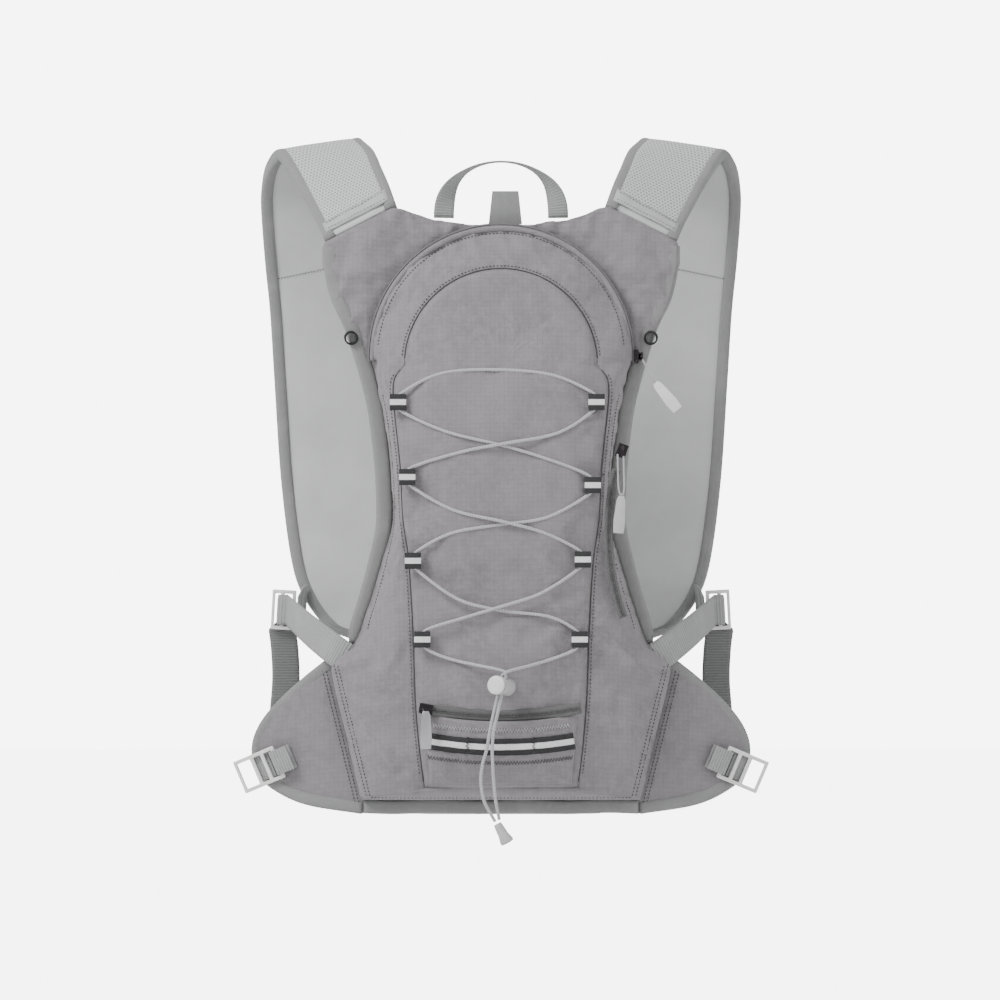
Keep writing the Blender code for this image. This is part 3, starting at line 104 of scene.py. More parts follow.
def light_for_camera(tree, lighting, output, strength):
    """Show a bright plain white to the camera, while the given shader does the lighting."""
    lighting.inputs[0].default_value = (1, 1, 1, 1)
    if lighting.type == "BACKGROUND":
        lighting.inputs["Strength"].default_value = SKY_LIGHT
    glow = tree.nodes.new("ShaderNodeBackground" if lighting.type == "BACKGROUND" else "ShaderNodeEmission")
    glow.inputs[0].default_value = (1, 1, 1, 1)
    glow.inputs["Strength"].default_value = strength
    ray = tree.nodes.new("ShaderNodeLightPath")
    choice = tree.nodes.new("ShaderNodeMixShader")
    tree.links.new(ray.outputs["Is Camera Ray"], choice.inputs[0])
    tree.links.new(lighting.outputs[0], choice.inputs[1])
    tree.links.new(glow.outputs[0], choice.inputs[2])
    tree.links.new(choice.outputs[0], tree.nodes[output].inputs["Surface"])


SKY_LIGHT = 0.72
SKY_GLOW = 7.0
FLOOR_GLOW = 6.5


def set_studio():
    world = bpy.data.worlds.new("studio")
    world.use_nodes = True
    light_for_camera(world.node_tree, world.node_tree.nodes["Background"], "World Output", SKY_GLOW)
    bpy.context.scene.world = world
    add_light("key", (-1.5, -1.2, 1.3), (0, -0.1, -0.28), 0.9, 46)
    add_light("fill", (1.5, -1.5, 0.2), (0, -0.1, -0.28), 1.6, 7)
    add_light("rim", (0.3, 1.8, 1.2), (0, 0, -0.25), 1.4, 12)
    bm = bmesh.new()
    bmesh.ops.create_grid(bm, size=6, x_segments=1, y_segments=1,
                          matrix=Matrix.Translation((0, 0, cad_box[0][2] - 0.06)))
    mesh = bpy.data.meshes.new("floor")
    bm.to_mesh(mesh)
    floor = bpy.data.objects.new("floor", mesh)
    bpy.context.scene.collection.objects.link(floor)
    paint = bpy.data.materials.new("floor_paint")
    paint.use_nodes = True
    shader = paint.node_tree.nodes["Principled BSDF"]
    light_for_camera(paint.node_tree, shader, "Material Output", FLOOR_GLOW)
    shader.inputs["Base Color"].default_value = (0.86, 0.86, 0.86, 1)
    shader.inputs["Roughness"].default_value = 0.9
    mesh.materials.append(paint)


set_camera()
set_studio()


# ---- shader maths ------------------------------------------------------------------------------------
class Value:
    """A shader socket that works in Python expressions."""

    def __init__(self, tree, socket):
        self.tree = tree
        self.socket = socket

    def node(self, kind, settings=None, **sockets):
        """Any other node: its settings first, then the values or links of its sockets."""
        made = self.tree.nodes.new(kind)
        for key, value in (settings or {}).items():
            setattr(made, key, value)
        for key, value in sockets.items():
            name = key.replace("_", " ")
            target = made.inputs[int(key[1:])] if key[0] == "n" and key[1:].isdigit() else made.inputs[name]
            if isinstance(value, Value):
                self.tree.links.new(value.socket, target)
            else:
                target.default_value = value
        return made

    def math(self, operation, *others):
        sockets = {f"n{k + 1}": other for k, other in enumerate(others)}
        made = self.node("ShaderNodeMath", {"operation": operation}, n0=self, **sockets)
        return Value(self.tree, made.outputs[0])

    def __add__(self, other):
        return self.math("ADD", other)

    __radd__ = __add__

    def __mul__(self, other):
        return self.math("MULTIPLY", other)

    __rmul__ = __mul__

    def __sub__(self, other):
        return self.math("SUBTRACT", other)

    def __rsub__(self, other):
        return self.math("MULTIPLY", -1).math("ADD", other)

    def __truediv__(self, other):
        return self.math("DIVIDE", other)

    def wave(self, period):
        """A smooth wave from 0 to 1, once in each period."""
        return (self * (2 * math.pi / period)).math("SINE") * 0.5 + 0.5

    def lines(self, period, share):
        """1 on thin lines that take the given share of each period, soft at their edges."""
        fold = (self / period).math("FRACT").math("SUBTRACT", 0.5).math("ABSOLUTE")
        return fold.ramp(0.5 - share * 0.75, 0.5 - share * 0.25)

    def ramp(self, low, high, to_low=0.0, to_high=1.0):
        made = self.node("ShaderNodeMapRange", {"interpolation_type": "SMOOTHSTEP"}, Value=self,
                         From_Min=low, From_Max=high, To_Min=to_low, To_Max=to_high)
        return Value(self.tree, made.outputs[0])

    def mix(self, colour_a, colour_b):
        """Colour a where this is 0, colour b where it is 1."""
        made = self.node("ShaderNodeMix", {"data_type": "RGBA"})
        for socket, value in ((made.inputs[0], self), (made.inputs[6], colour_a), (made.inputs[7], colour_b)):
            if isinstance(value, Value):
                self.tree.links.new(value.socket, socket)
            else:
                socket.default_value = (*value, 1)
        return Value(self.tree, made.outputs[2])


class Finish:
    """A material being made: coordinates to read, and the one shader it ends in."""

    def __init__(self, name, sheen=0.0, specular=0.4, coat=0.0, metallic=0.0):
        self.material = bpy.data.materials.new(name)
        self.material.use_nodes = True
        self.tree = self.material.node_tree
        self.shader = self.tree.nodes["Principled BSDF"]
        self.shader.inputs["Sheen Weight"].default_value = sheen
        self.shader.inputs["Sheen Roughness"].default_value = 0.5
        self.shader.inputs["Specular IOR Level"].default_value = specular
        self.shader.inputs["Coat Weight"].default_value = coat
        self.shader.inputs["Metallic"].default_value = metallic
        place = self.tree.nodes.new("ShaderNodeTexCoord")
        self.place = Value(self.tree, place.outputs["Object"])
        self.x, self.y, self.z = self.split(self.place)
        self.uv = Value(self.tree, place.outputs["UV"])
        self.across, self.along, _ = self.split(self.uv)

    def split(self, vector):
        made = vector.node("ShaderNodeSeparateXYZ", None, n0=vector)
        return [Value(self.tree, socket) for socket in made.outputs]

    def noise(self, scale, detail=4.0, roughness=0.55, vector=None):
        made = self.place.node("ShaderNodeTexNoise", None, Vector=vector or self.place, Scale=scale,
                               Detail=detail, Roughness=roughness)
        return Value(self.tree, made.outputs[0])

    def colour(self, value):
        self.tree.links.new(value.socket, self.shader.inputs["Base Color"])
        return self

    def rough(self, value):
        self.tree.links.new(value.socket, self.shader.inputs["Roughness"])
        return self

    def bump(self, height, depth):
        """Bump of the given real depth in metres; height runs from 0 to 1."""
        made = height.node("ShaderNodeBump", None, Height=height, Distance=depth, Strength=1.0)
        self.tree.links.new(made.outputs[0], self.shader.inputs["Normal"])
        return self.material


def shade(colour, factor):
    return tuple(min(1, channel * factor) for channel in colour)


# ---- the pack's materials ----------------------------------------------------------------------------
RIPSTOP = (0.248, 0.232, 0.246)
BINDING = (0.30, 0.306, 0.302)
LINING = (0.59, 0.60, 0.595)
MESH = (0.60, 0.61, 0.61)
WEB = (0.33, 0.335, 0.335)
CORD = (0.56, 0.555, 0.58)
PLASTIC = (0.90, 0.90, 0.89)
GREY_PLASTIC = (0.56, 0.555, 0.56)


def ripstop_cloth(name, tone, grid=3.8 * MM):
    """Light nylon with a grid of thicker threads, finely crinkled."""
    cloth = Finish(name, sheen=0.25, specular=0.35)
    drift = cloth.noise(14, 2) * (3.0 * MM)
    across, down = cloth.x + drift, cloth.z + cloth.y * 0.35 + drift
    threads = across.lines(grid, 0.16).math("MAXIMUM", down.lines(grid, 0.16))
    weave = across.wave(0.55 * MM) * down.wave(0.55 * MM)
    crinkle = cloth.noise(160, 5, 0.62)
    broad = cloth.noise(18, 3)
    mottled = broad.ramp(0.3, 0.7).mix(shade(tone, 0.93), shade(tone, 1.08))
    # painted highlight: the crinkle's raised peaks, which the bump lifts, are coloured lighter, up to 1.14 of
    # the tone
    fine = crinkle.ramp(0.35, 0.68).mix(mottled, shade(tone, 1.14))
    lined = (threads * 0.26).mix(fine, shade(tone, 0.74))
    cloth.colour(lined)
    cloth.rough(0.52 + crinkle * 0.2 - threads * 0.08)
    return cloth.bump(crinkle * 0.7 + threads * 0.12 + weave * 0.1, 0.6 * MM)


def lining_cloth(name, tone):
    """The smooth woven lining of the straps."""
    cloth = Finish(name, sheen=0.3, specular=0.25)
    weave = cloth.across.wave(0.9 * MM) * cloth.along.wave(0.9 * MM)
    cloudy = cloth.noise(22, 3)
    grain = cloth.noise(420, 3)
    cloth.colour((cloudy.ramp(0.3, 0.7) * 0.6 + grain * 0.4).mix(shade(tone, 0.92), shade(tone, 1.06)))
    cloth.rough(0.72 + grain * 0.16)
    return cloth.bump(weave * 0.35 + grain * 0.5, 0.25 * MM)


def spacer_mesh(name, tone, pitch=3.0 * MM):
    """Open knitted mesh: rows of small holes, every second row shifted, painted dark inside as shade."""
    cloth = Finish(name, sheen=0.3, specular=0.2)
    row = (cloth.along / pitch).math("FLOOR")
    shifted = cloth.across / pitch + row.math("MODULO", 2.0) * 0.5
    dx = shifted.math("FRACT") - 0.5
    dy = (cloth.along / pitch).math("FRACT") - 0.5
    reach = (dx * dx + dy * dy).math("SQRT")
    hole_shade = 1 - reach.ramp(0.2, 0.36)
    knit = cloth.noise(900, 2)
    # painted shade: the holes are coloured down to half the tone, for the shade inside them
    cloth.colour((hole_shade * 0.85).mix(shade(tone, 1.05), shade(tone, 0.5)))
    cloth.rough(0.8 - knit * 0.1)
    return cloth.bump(reach.ramp(0.12, 0.45) * 0.85 + knit * 0.15, 0.7 * MM)


def ribbed_tape(name, tone, rib=1.15 * MM, lengthwise=False, depth=0.35, sheen=0.2):
    """Woven tape or webbing; its ribs run across it, or along it."""
    cloth = Finish(name, sheen=sheen, specular=0.3)
    run, cross = (cloth.across, cloth.along) if lengthwise else (cloth.along, cloth.across)
    ribs = run.wave(rib)
    threads = cross.wave(0.7 * MM)
    grain = cloth.noise(500, 3)
    worn = cloth.noise(40, 4)
    # painted shade and highlight: the rib grooves are coloured darker and the crests lighter, with the
    # grain's own random tone mixed in
    rib_shade_and_grain = (ribs * 0.7 + grain * 0.3).mix(shade(tone, 0.72), shade(tone, 1.12))
    cloth.colour((worn.ramp(0.5, 0.75) * 0.35).mix(rib_shade_and_grain, shade(tone, 1.25)))
    cloth.rough(0.7 + grain * 0.15)
    return cloth.bump(ribs * 0.6 + threads * 0.2 + grain * 0.2, depth * MM)


def braided_cord(name, tone, diameter):
    """A round braid: strands crossing at a slant."""
    cloth = Finish(name, sheen=0.25, specular=0.3)
    turn = cloth.across * 8
    run = cloth.along / (diameter * 0.9)
    strands = (turn + run).math("FRACT").math("SUBTRACT", 0.5).math("ABSOLUTE")
    crossing = (turn - run).math("FRACT").math("SUBTRACT", 0.5).math("ABSOLUTE")
    braid = (strands.math("MAXIMUM", crossing)).ramp(0.25, 0.5)
    grain = cloth.noise(900, 2)
    # painted shade: the hollows between the braid's strands are coloured darker and the raised strands
    # lighter, with the grain's own tone mixed in
    cloth.colour((braid * 0.7 + grain * 0.3).mix(shade(tone, 0.8), shade(tone, 1.1)))
    cloth.rough(0.6 + grain * 0.2)
    return cloth.bump(braid, 0.22 * MM)


def moulded_plastic(name, tone, roughness=0.42):
    """Satin moulded plastic, a little scuffed."""
    plastic = Finish(name, specular=0.5, coat=0.08)
    grain = plastic.noise(900, 3)
    scuffs = plastic.noise(90, 5, 0.7)
    plastic.colour(scuffs.ramp(0.35, 0.75).mix(shade(tone, 0.96), shade(tone, 1.05)))
    plastic.rough(roughness - 0.08 + grain * 0.12 + scuffs * 0.08)
    return plastic.bump(grain * 0.7 + scuffs * 0.3, 0.06 * MM)


def dark_paint(name, tone=(0.035, 0.03, 0.034)):
    """Dark painted zinc with bright worn spots."""
    paint = Finish(name, specular=0.5, metallic=0.85)
    grain = paint.noise(700, 3)
    wear = paint.noise(260, 5, 0.7)
    paint.colour(wear.ramp(0.58, 0.72).mix(tone, (0.22, 0.21, 0.21)))
    paint.rough(0.3 + grain * 0.2)
    return paint.bump(grain, 0.05 * MM)


def striped_tape(name):
    """Black tape with a white reflective stripe along its middle, read from its own map."""
    tape = Finish(name, specular=0.4)
    off = (tape.across).math("ABSOLUTE")
    stripe = 1 - off.ramp(0.15, 0.2)
    grain = tape.noise(600, 3)
    ribs = tape.along.wave(0.8 * MM)
    dark = grain.mix((0.018, 0.018, 0.02), (0.04, 0.04, 0.042))
    bright = grain.ramp(0.3, 0.7).mix((0.80, 0.80, 0.81), (0.90, 0.90, 0.91))
    tape.colour(stripe.mix(dark, bright))
    tape.rough(0.62 - stripe * 0.25)
    return tape.bump(ribs * (1 - stripe) * 0.6 + stripe * 0.5 + grain * 0.1, 0.2 * MM)


def bright_steel(name):
    steel = Finish(name, metallic=1.0)
    drawn = steel.noise(1200, 2)
    steel.colour(drawn.mix((0.45, 0.45, 0.47), (0.6, 0.6, 0.62)))
    steel.rough(0.25 + drawn * 0.15)
    return steel.bump(drawn, 0.02 * MM)


def thread_finish(name, tone):
    thread = Finish(name, sheen=0.2, specular=0.3)
    twist = thread.noise(1500, 2)
    thread.colour(twist.mix(shade(tone, 0.85), shade(tone, 1.1)))
    thread.rough(0.6 + twist * 0.2)
    return thread.bump(twist, 0.05 * MM)


ripstop = ripstop_cloth("ripstop_fabric", RIPSTOP)
fin_cloth = ripstop_cloth("fin_ripstop", shade(RIPSTOP, 0.97))
lining = lining_cloth("strap_lining", LINING)
hem_tape = ribbed_tape("hem_tape", shade(WEB, 1.8), rib=1.0 * MM)
mesh_cloth = spacer_mesh("strap_mesh_cloth", MESH)
back_mesh = spacer_mesh("back_mesh_cloth", shade(MESH, 0.8), 3.4 * MM)
binding = ribbed_tape("binding_tape_cloth", BINDING, rib=0.9 * MM, depth=0.25)
webbing = ribbed_tape("ribbed_webbing", WEB, rib=2.2 * MM)
light_webbing = ribbed_tape("light_webbing", shade(WEB, 1.2), rib=2.4 * MM, depth=0.6)
# the webbing painted darker as shade, for the adjuster's hanging tail
shade_painted_webbing = ribbed_tape("shade_painted_webbing", shade(WEB, 0.62), rib=2.2 * MM, depth=0.5)
elastic = braided_cord("braided_elastic", CORD, 2.6 * MM)
fine_elastic = braided_cord("fine_elastic", shade(CORD, 1.0), 1.5 * MM)
light_plastic = moulded_plastic("light_moulding", PLASTIC)
grey_plastic = moulded_plastic("grey_moulding", GREY_PLASTIC, 0.38)
dark_metal = dark_paint("dark_zinc")
reflective = striped_tape("reflective_stripe")
black_tape = ribbed_tape("black_loop_tape", (0.02, 0.02, 0.021), rib=0.8 * MM, sheen=0.05)
zip_coil = moulded_plastic("zip_coil", (0.10, 0.095, 0.10), 0.45)
zip_tape = ribbed_tape("zip_tape_cloth", shade(BINDING, 0.55), rib=0.7 * MM)
edge_tape = ribbed_tape("arch_zip_tape", shade(RIPSTOP, 1.02), rib=0.7 * MM, depth=0.15)
edge_coil = moulded_plastic("arch_zip_coil", shade(RIPSTOP, 0.8), 0.5)
spring_steel = bright_steel("bright_spring_wire")
seam_thread = thread_finish("seam_thread", (0.07, 0.066, 0.07))
white_thread = thread_finish("white_thread", (0.72, 0.72, 0.73))
dark_thread = thread_finish("dark_thread", (0.05, 0.05, 0.055))


# ---- ways of making pieces ---------------------------------------------------------------------------
def keep(name, bm, finish, body, nodes=(), smooth=True):
    """Finish a piece: make its object, dress it, say what it rides on and what it stands for.

    A piece that blends between two bodies is made with no body here.
    """
    mesh = bpy.data.meshes.new(name)
    bm.to_mesh(mesh)
    bm.free()
    for face in mesh.polygons:
        face.use_smooth = smooth
    mesh.materials.append(finish)
    piece = bpy.data.objects.new(name, mesh)
    bpy.context.scene.collection.objects.link(piece)
    if body:
        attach(piece, body)
    if nodes:
        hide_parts(*nodes)
    return piece


def add_subdivision(piece, levels):
    modifier = piece.modifiers.new("finer", "SUBSURF")
    modifier.levels = levels
    modifier.render_levels = levels
    return piece


def add_wall(piece, thickness, offset=-1):
    modifier = piece.modifiers.new("wall", "SOLIDIFY")
    modifier.thickness = thickness
    modifier.offset = offset
    return piece


def curve_through(points, steps):
    """A smooth curve through the points, with this many steps from each to the next."""
    points = [Vector(p) for p in points]
    path = []
    for k in range(len(points) - 1):
        p1, p2 = points[k], points[k + 1]
        p0 = points[k - 1] if k else p1 * 2 - p2
        p3 = points[k + 2] if k + 2 < len(points) else p2 * 2 - p1
        for s in range(steps):
            t = s / steps
            path.append(0.5 * (2 * p1 + (p2 - p0) * t + (2 * p0 - 5 * p1 + 4 * p2 - p3) * t**2
                               + (3 * p1 - p0 - 3 * p2 + p3) * t**3))
    path.append(points[-1])
    return path


def in_mm(points, side=1):
    return [Vector((x * side, y, z)) * MM for x, y, z in points]


def spaced(path, step):
    """The same path with points at even steps, about this far apart."""
    lengths = [0.0]
    for a, b in zip(path, path[1:]):
        lengths.append(lengths[-1] + (b - a).length)
    count = max(2, round(lengths[-1] / step))
    out, k = [], 0
    for i in range(count + 1):
        want = lengths[-1] * i / count
        while k < len(path) - 2 and lengths[k + 1] < want:
            k += 1
        span = max(1e-9, lengths[k + 1] - lengths[k])
        out.append(path[k].lerp(path[k + 1], min(1, (want - lengths[k]) / span)))
    return out


def path_length(path):
    return sum((b - a).length for a, b in zip(path, path[1:]))


def loft(rings, closed=True, caps=True):
    """Skin a row of rings that have the same number of points, with a map of metres round and along."""
    bm = bmesh.new()
    layer = bm.loops.layers.uv.new("UVMap")
    count = len(rings[0])
    made = [[bm.verts.new(p) for p in ring] for ring in rings]
    around, along = [0.0], [0.0]
    widest = rings[len(rings) // 2]
    for a, b in zip(widest, widest[1:] + widest[:1]):
        around.append(around[-1] + (b - a).length)
    for a, b in zip(rings, rings[1:]):
        along.append(along[-1] + sum((q - p).length for p, q in zip(a, b)) / count)
    for i in range(len(rings) - 1):
        for j in range(count if closed else count - 1):
            k = (j + 1) % count
            face = bm.faces.new((made[i][j], made[i][k], made[i + 1][k], made[i + 1][j]))
            spots = ((around[j], along[i]), (around[j + 1], along[i]),
                     (around[j + 1], along[i + 1]), (around[j], along[i + 1]))
            for loop, spot in zip(face.loops, spots):
                loop[layer].uv = spot
    if closed and caps:
        for ring, flip in ((made[0], True), (made[-1], False)):
            centre = bm.verts.new(sum((v.co for v in ring), Vector()) / count)
            for j in range(count):
                pair = (ring[j], ring[(j + 1) % count])
                bm.faces.new((*(pair[::-1] if flip else pair), centre))
    bmesh.ops.recalc_face_normals(bm, faces=bm.faces[:])
    return bm


def frames_along(path, up):
    """Right and up ways at each point of a path, turning as little as it can."""
    ways = []
    side = None
    for i in range(len(path)):
        ahead = (path[min(i + 1, len(path) - 1)] - path[max(i - 1, 0)]).normalized()
        if side is None:
            side = ahead.cross(up).normalized()
        side = (side - ahead * side.dot(ahead)).normalized()
        ways.append((side, side.cross(ahead).normalized()))
    return ways


def rope(path, radius, sides=10, flat=1.0, up=Vector((0.13, -0.97, 0.21))):
    """A round cord, or an oval one when flat is not 1."""
    rings = []
    for (right, high), point in zip(frames_along(path, up), path):
        rings.append([point + right * (radius * math.cos(2 * math.pi * k / sides))
                      + high * (radius * flat * math.sin(2 * math.pi * k / sides))
                      for k in range(sides)])
    return loft(rings)


def ribbon(centres, ways, width, thickness, across=6, crown=0.0):
    """Flat webbing with softly rounded edges; ways gives its width's direction at each point."""
    rings = []
    for i, centre in enumerate(centres):
        ahead = centres[min(i + 1, len(centres) - 1)] - centres[max(i - 1, 0)]
        wide = ways[i].normalized()
        face = ahead.cross(wide).normalized()
        top, low = [], []
        for j in range(across + 1):
            share = 2 * j / across - 1
            round_off = math.sqrt(max(0.0, 1 - abs(share) ** 6)) * 0.72 + 0.28
            lift = face * crown * (1 - share * share)
            at = centre + wide * (width / 2 * share) + lift
            top.append(at + face * (thickness / 2 * round_off))
            low.append(at - face * (thickness / 2 * round_off))
        rings.append(top + low[::-1])
    return loft(rings)


def from_cad(node, *more):
    """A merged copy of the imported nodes' meshes."""
    bm = bmesh.new()
    for name in (node, *more):
        bm.from_mesh(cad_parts[name].data)
    bmesh.ops.remove_doubles(bm, verts=bm.verts[:], dist=0.02 * MM)
    return bm


def map_flat(bm, place):
    """Give a mesh its own map: place(point) says how far across and along in metres."""
    layer = bm.loops.layers.uv.get("UVMap") or bm.loops.layers.uv.new("UVMap")
    for face in bm.faces:
        for loop in face.loops:
            loop[layer].uv = place(loop.vert.co)
    return bm


def rigid_piece(node, finish, body, bevel=0.5 * MM, segments=2):
    """A hard piece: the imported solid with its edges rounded."""
    bm = from_cad(node)
    bmesh.ops.dissolve_limit(bm, angle_limit=math.radians(4), verts=bm.verts[:], edges=bm.edges[:])
    sharp = [e for e in bm.edges if len(e.link_faces) == 2 and e.calc_face_angle() > math.radians(28)]
    bmesh.ops.bevel(bm, geom=sharp, offset=bevel, offset_type="OFFSET", segments=segments,
                    affect="EDGES", profile=0.5, material=-1, clamp_overlap=True)
    piece = keep(node + "_moulding", bm, finish, body, (node,))
    piece.data.shade_flat()
    for face in piece.data.polygons:
        face.use_smooth = True
    sharpen(piece, 40)
    return piece


def sharpen(piece, angle):
    """Keep edges sharper than the angle crisp under smooth shading."""
    bm = bmesh.new()
    bm.from_mesh(piece.data)
    for edge in bm.edges:
        if len(edge.link_faces) == 2 and edge.calc_face_angle() > math.radians(angle):
            edge.smooth = False
    bm.to_mesh(piece.data)
    bm.free()


def crinkle(point, size, seed=0.0):
    """Soft cloth-like relief from -1 to 1, about this size across."""
    return noise.fractal(point / size + Vector((seed, seed * 0.7, -seed)), 0.9, 2.1, 3)


def settle(piece, held, pressure, growth, cap, frames=20, stiffness=12):
    """Let cloth find its shape: it starts a little too big, swells, and moves no further than cap."""
    mesh = piece.data
    start = [v.co.copy() for v in mesh.vertices]
    group = piece.vertex_groups.new(name="held")
    for index, vertex in enumerate(mesh.vertices):
        group.add([index], max(0.0, min(1.0, held(vertex.co))), "REPLACE")
    cloth = piece.modifiers.new("cloth", "CLOTH")
    settings = cloth.settings
    settings.quality = 6
    settings.mass = 0.15
    settings.tension_stiffness = stiffness
    settings.compression_stiffness = stiffness
    settings.shear_stiffness = stiffness / 2
    settings.bending_stiffness = 0.05
    settings.air_damping = 4
    settings.effector_weights.gravity = 0
    settings.use_pressure = pressure > 0
    settings.uniform_pressure_force = pressure
    settings.shrink_min = -growth
    settings.vertex_group_mass = "held"
    settings.pin_stiffness = 1
    cloth.collision_settings.use_collision = False
    cloth.collision_settings.use_self_collision = False
    cloth.point_cache.frame_start = 1
    cloth.point_cache.frame_end = frames
    scene = bpy.context.scene
    scene.frame_set(1)
    for step in range(2, frames + 1):
        scene.frame_set(step)
    depsgraph = bpy.context.evaluated_depsgraph_get()
    moved = [v.co.copy() for v in piece.evaluated_get(depsgraph).data.vertices]
    piece.modifiers.remove(cloth)
    scene.frame_set(1)
    for vertex, before, after in zip(mesh.vertices, start, moved):
        step = after - before
        if step.length > cap:
            step *= cap / step.length
        vertex.co = before + step
    mesh.update()


class Skin:
    """The finished surfaces together, to lay seams and stitches on."""

    def __init__(self, pieces):
        depsgraph = bpy.context.evaluated_depsgraph_get()
        bm = bmesh.new()
        for piece in pieces:
            bm.from_mesh(piece.evaluated_get(depsgraph).to_mesh())
        bmesh.ops.triangulate(bm, faces=bm.faces[:])
        self.tree = BVHTree.FromBMesh(bm)
        bm.free()

    def under(self, x, z, way=-1, y=0.4):
        """The point and normal met from in front (way -1) or behind (way 1)."""
        hit, normal, _, _ = self.tree.ray_cast(Vector((x, way * y, z)), Vector((0, -way, 0)))
        return hit, normal

    def lay(self, flat_path, lift, step=2 * MM, way=-1):
        """Drop a path of (x, z) points onto the skin and raise it a little."""
        points = spaced([Vector((x, 0, z)) for x, z in flat_path], step)
        out = []
        for p in points:
            hit, normal = self.under(p.x, p.z, way)
            if hit is not None:
                out.append(hit + Vector((0, way, 0)) * lift)
        return out


def stitches(name, path, finish, pitch=3.0 * MM, length=2.1 * MM, width=0.55 * MM, body="pack"):
    """A row of sewn stitches: small rounded bars one after another along a path."""
    bm = bmesh.new()
    dots = spaced(path, pitch)
    for k in range(1, len(dots) - 1):
        ahead = (dots[k + 1] - dots[k - 1]).normalized()
        across = ahead.cross(OUT).normalized()
        face = across.cross(ahead)
        turn = Matrix((ahead, across, face)).transposed().to_4x4()
        place = Matrix.Translation(dots[k]) @ turn @ Matrix.Diagonal((length / 2, width / 2, width / 2, 1))
        bmesh.ops.create_icosphere(bm, subdivisions=1, radius=1.0, matrix=place)
    return keep(name, bm, finish, body)


# ---- shapes of the pack ------------------------------------------------------------------------------
BACK_FRONT_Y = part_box("back_panel")[0][1]        # front face of the back panel
BACK_REAR_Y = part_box("back_panel")[1][1]
BASE_Y = BACK_FRONT_Y - 0.3 * MM
ARCH_RADIUS = 105 * MM
ARCH_Z = -167 * MM
INNER_ARCH_RADIUS = 77 * MM
INNER_ARCH_Z = -174 * MM
BAG_LOW_Z = -524 * MM
PANEL_LOW_Z = -513 * MM
PANEL_HIGH_Z = INNER_ARCH_Z + INNER_ARCH_RADIUS
BAG_DEPTH = 52 * MM
TOP_DEPTH = 26 * MM
FULL_DEPTH_Z = -260 * MM
ROUND_Z = -468 * MM
ROUND_HEIGHT = 62 * MM
CROWN = 0.18
SKIN_LIFT = 2.0 * MM                   # the front panel's cloth over the bag's

# half widths down the pack, each as (height, half width)
BODY_EDGE = ((-93, 142), (-120, 136), (-146, 124), (-200, 108), (-235, 102.5),
             (-270, 99.5), (-303, 99.5), (-330, 105), (-360, 113), (-385, 120.5), (-398, 121))
BAG_EDGE = ((-167, 105), (-191, 99), (-215, 94.5), (-240, 90.5), (-266, 88.4), (-298, 87),
            (-330, 95.5), (-372, 108.5), (-398, 119), (-412, 135), (-420, 136.6), (-470, 125.2),
            (-524, 112.8), (-533, 110.6))
SIDE_SEAM = ((-174, 77), (-184, 84.5), (-194, 86), (-210, 85), (-258, 80), (-298, 78),
             (-330, 73.5), (-388, 70), (-444, 68), (-480, 65), (-513, 61))
NECKLINE = ((0, -61), (30, -60), (54, -57), (68, -52.5), (80, -48), (87.5, -47), (142.5, -75))
STRAP_NECK_EDGE = ((87.5, -79, -41), (93, -64, -26), (99, -46, -12), (104, -26, 0), (111, -8, 7.5),
                   (115, 2, 10.4), (113, 16, 5), (108, 32, -14), (103, 44, -38), (96, 58, -84),
                   (91, 66, -130), (88, 70, -185), (86, 62, -266), (90, 40, -330),
                   (98, 28, -362), (108, 18, -386), (116, 12, -396))
STRAP_ARM_EDGE = ((142.5, -79, -69), (148, -66, -57), (157, -48, -40), (166, -30, -23),
                  (177, -10, -4.5), (183, 2, 0.5), (190, 14, -9), (193.5, 28, -23), (194.5, 40, -43),
                  (191.5, 56, -87), (187.5, 66, -128), (184, 70, -185), (178.5, 62, -266),
                  (170, 40, -330), (160, 29, -361), (141, 19, -386), (122, 13, -395))
STRAP_THICKNESS = 7 * MM
STRAP_ROOT = 5 * MM                    # how far the strap is sewn into the shoulder seam
FIN_EDGE = ((138, -410), (161, -428.5), (182, -448.5), (194.5, -465), (200, -482),
            (197, -500), (186, -513), (158, -526.5), (112, -534))
FIN_SEAM = ((138, -410), (110, -534))
FIN_TIP_X = 200 * MM
FIN_SWEEP = 22 * MM
FIN_THICKNESS = 5 * MM
FIN_UNDERLAP = 2.5 * MM                # how far the fin's cloth runs under the pack's side


def width_at(curve, height):
    """Read a half width off its list, with a smooth curve between points."""
    z = height / MM
    rows = sorted(curve)
    if z <= rows[0][0]:
        return rows[0][1] * MM
    if z >= rows[-1][0]:
        return rows[-1][1] * MM
    k = next(i for i in range(len(rows) - 1) if z <= rows[i + 1][0])
    p0, p1, p2, p3 = (rows[max(0, min(len(rows) - 1, k + d))] for d in (-1, 0, 1, 2))
    t = (z - p1[0]) / (p2[0] - p1[0])
    m1 = (p2[1] - p0[1]) / (p2[0] - p0[0]) * (p2[0] - p1[0])
    m2 = (p3[1] - p1[1]) / (p3[0] - p1[0]) * (p2[0] - p1[0])
    start = (2 * t**3 - 3 * t**2 + 1) * p1[1] + (t**3 - 2 * t**2 + t) * m1
    return (start + (-2 * t**3 + 3 * t**2) * p2[1] + (t**3 - t**2) * m2) * MM


def centre_depth(z):
    t = max(0, min(1, (PANEL_HIGH_Z - z) / (PANEL_HIGH_Z - FULL_DEPTH_Z)))
    depth = TOP_DEPTH + (BAG_DEPTH - TOP_DEPTH) * (t * t * (3 - 2 * t))
    below = max(0, min(1, (ROUND_Z - z) / ROUND_HEIGHT))
    return depth * math.sqrt(1 - below * below * 0.92)


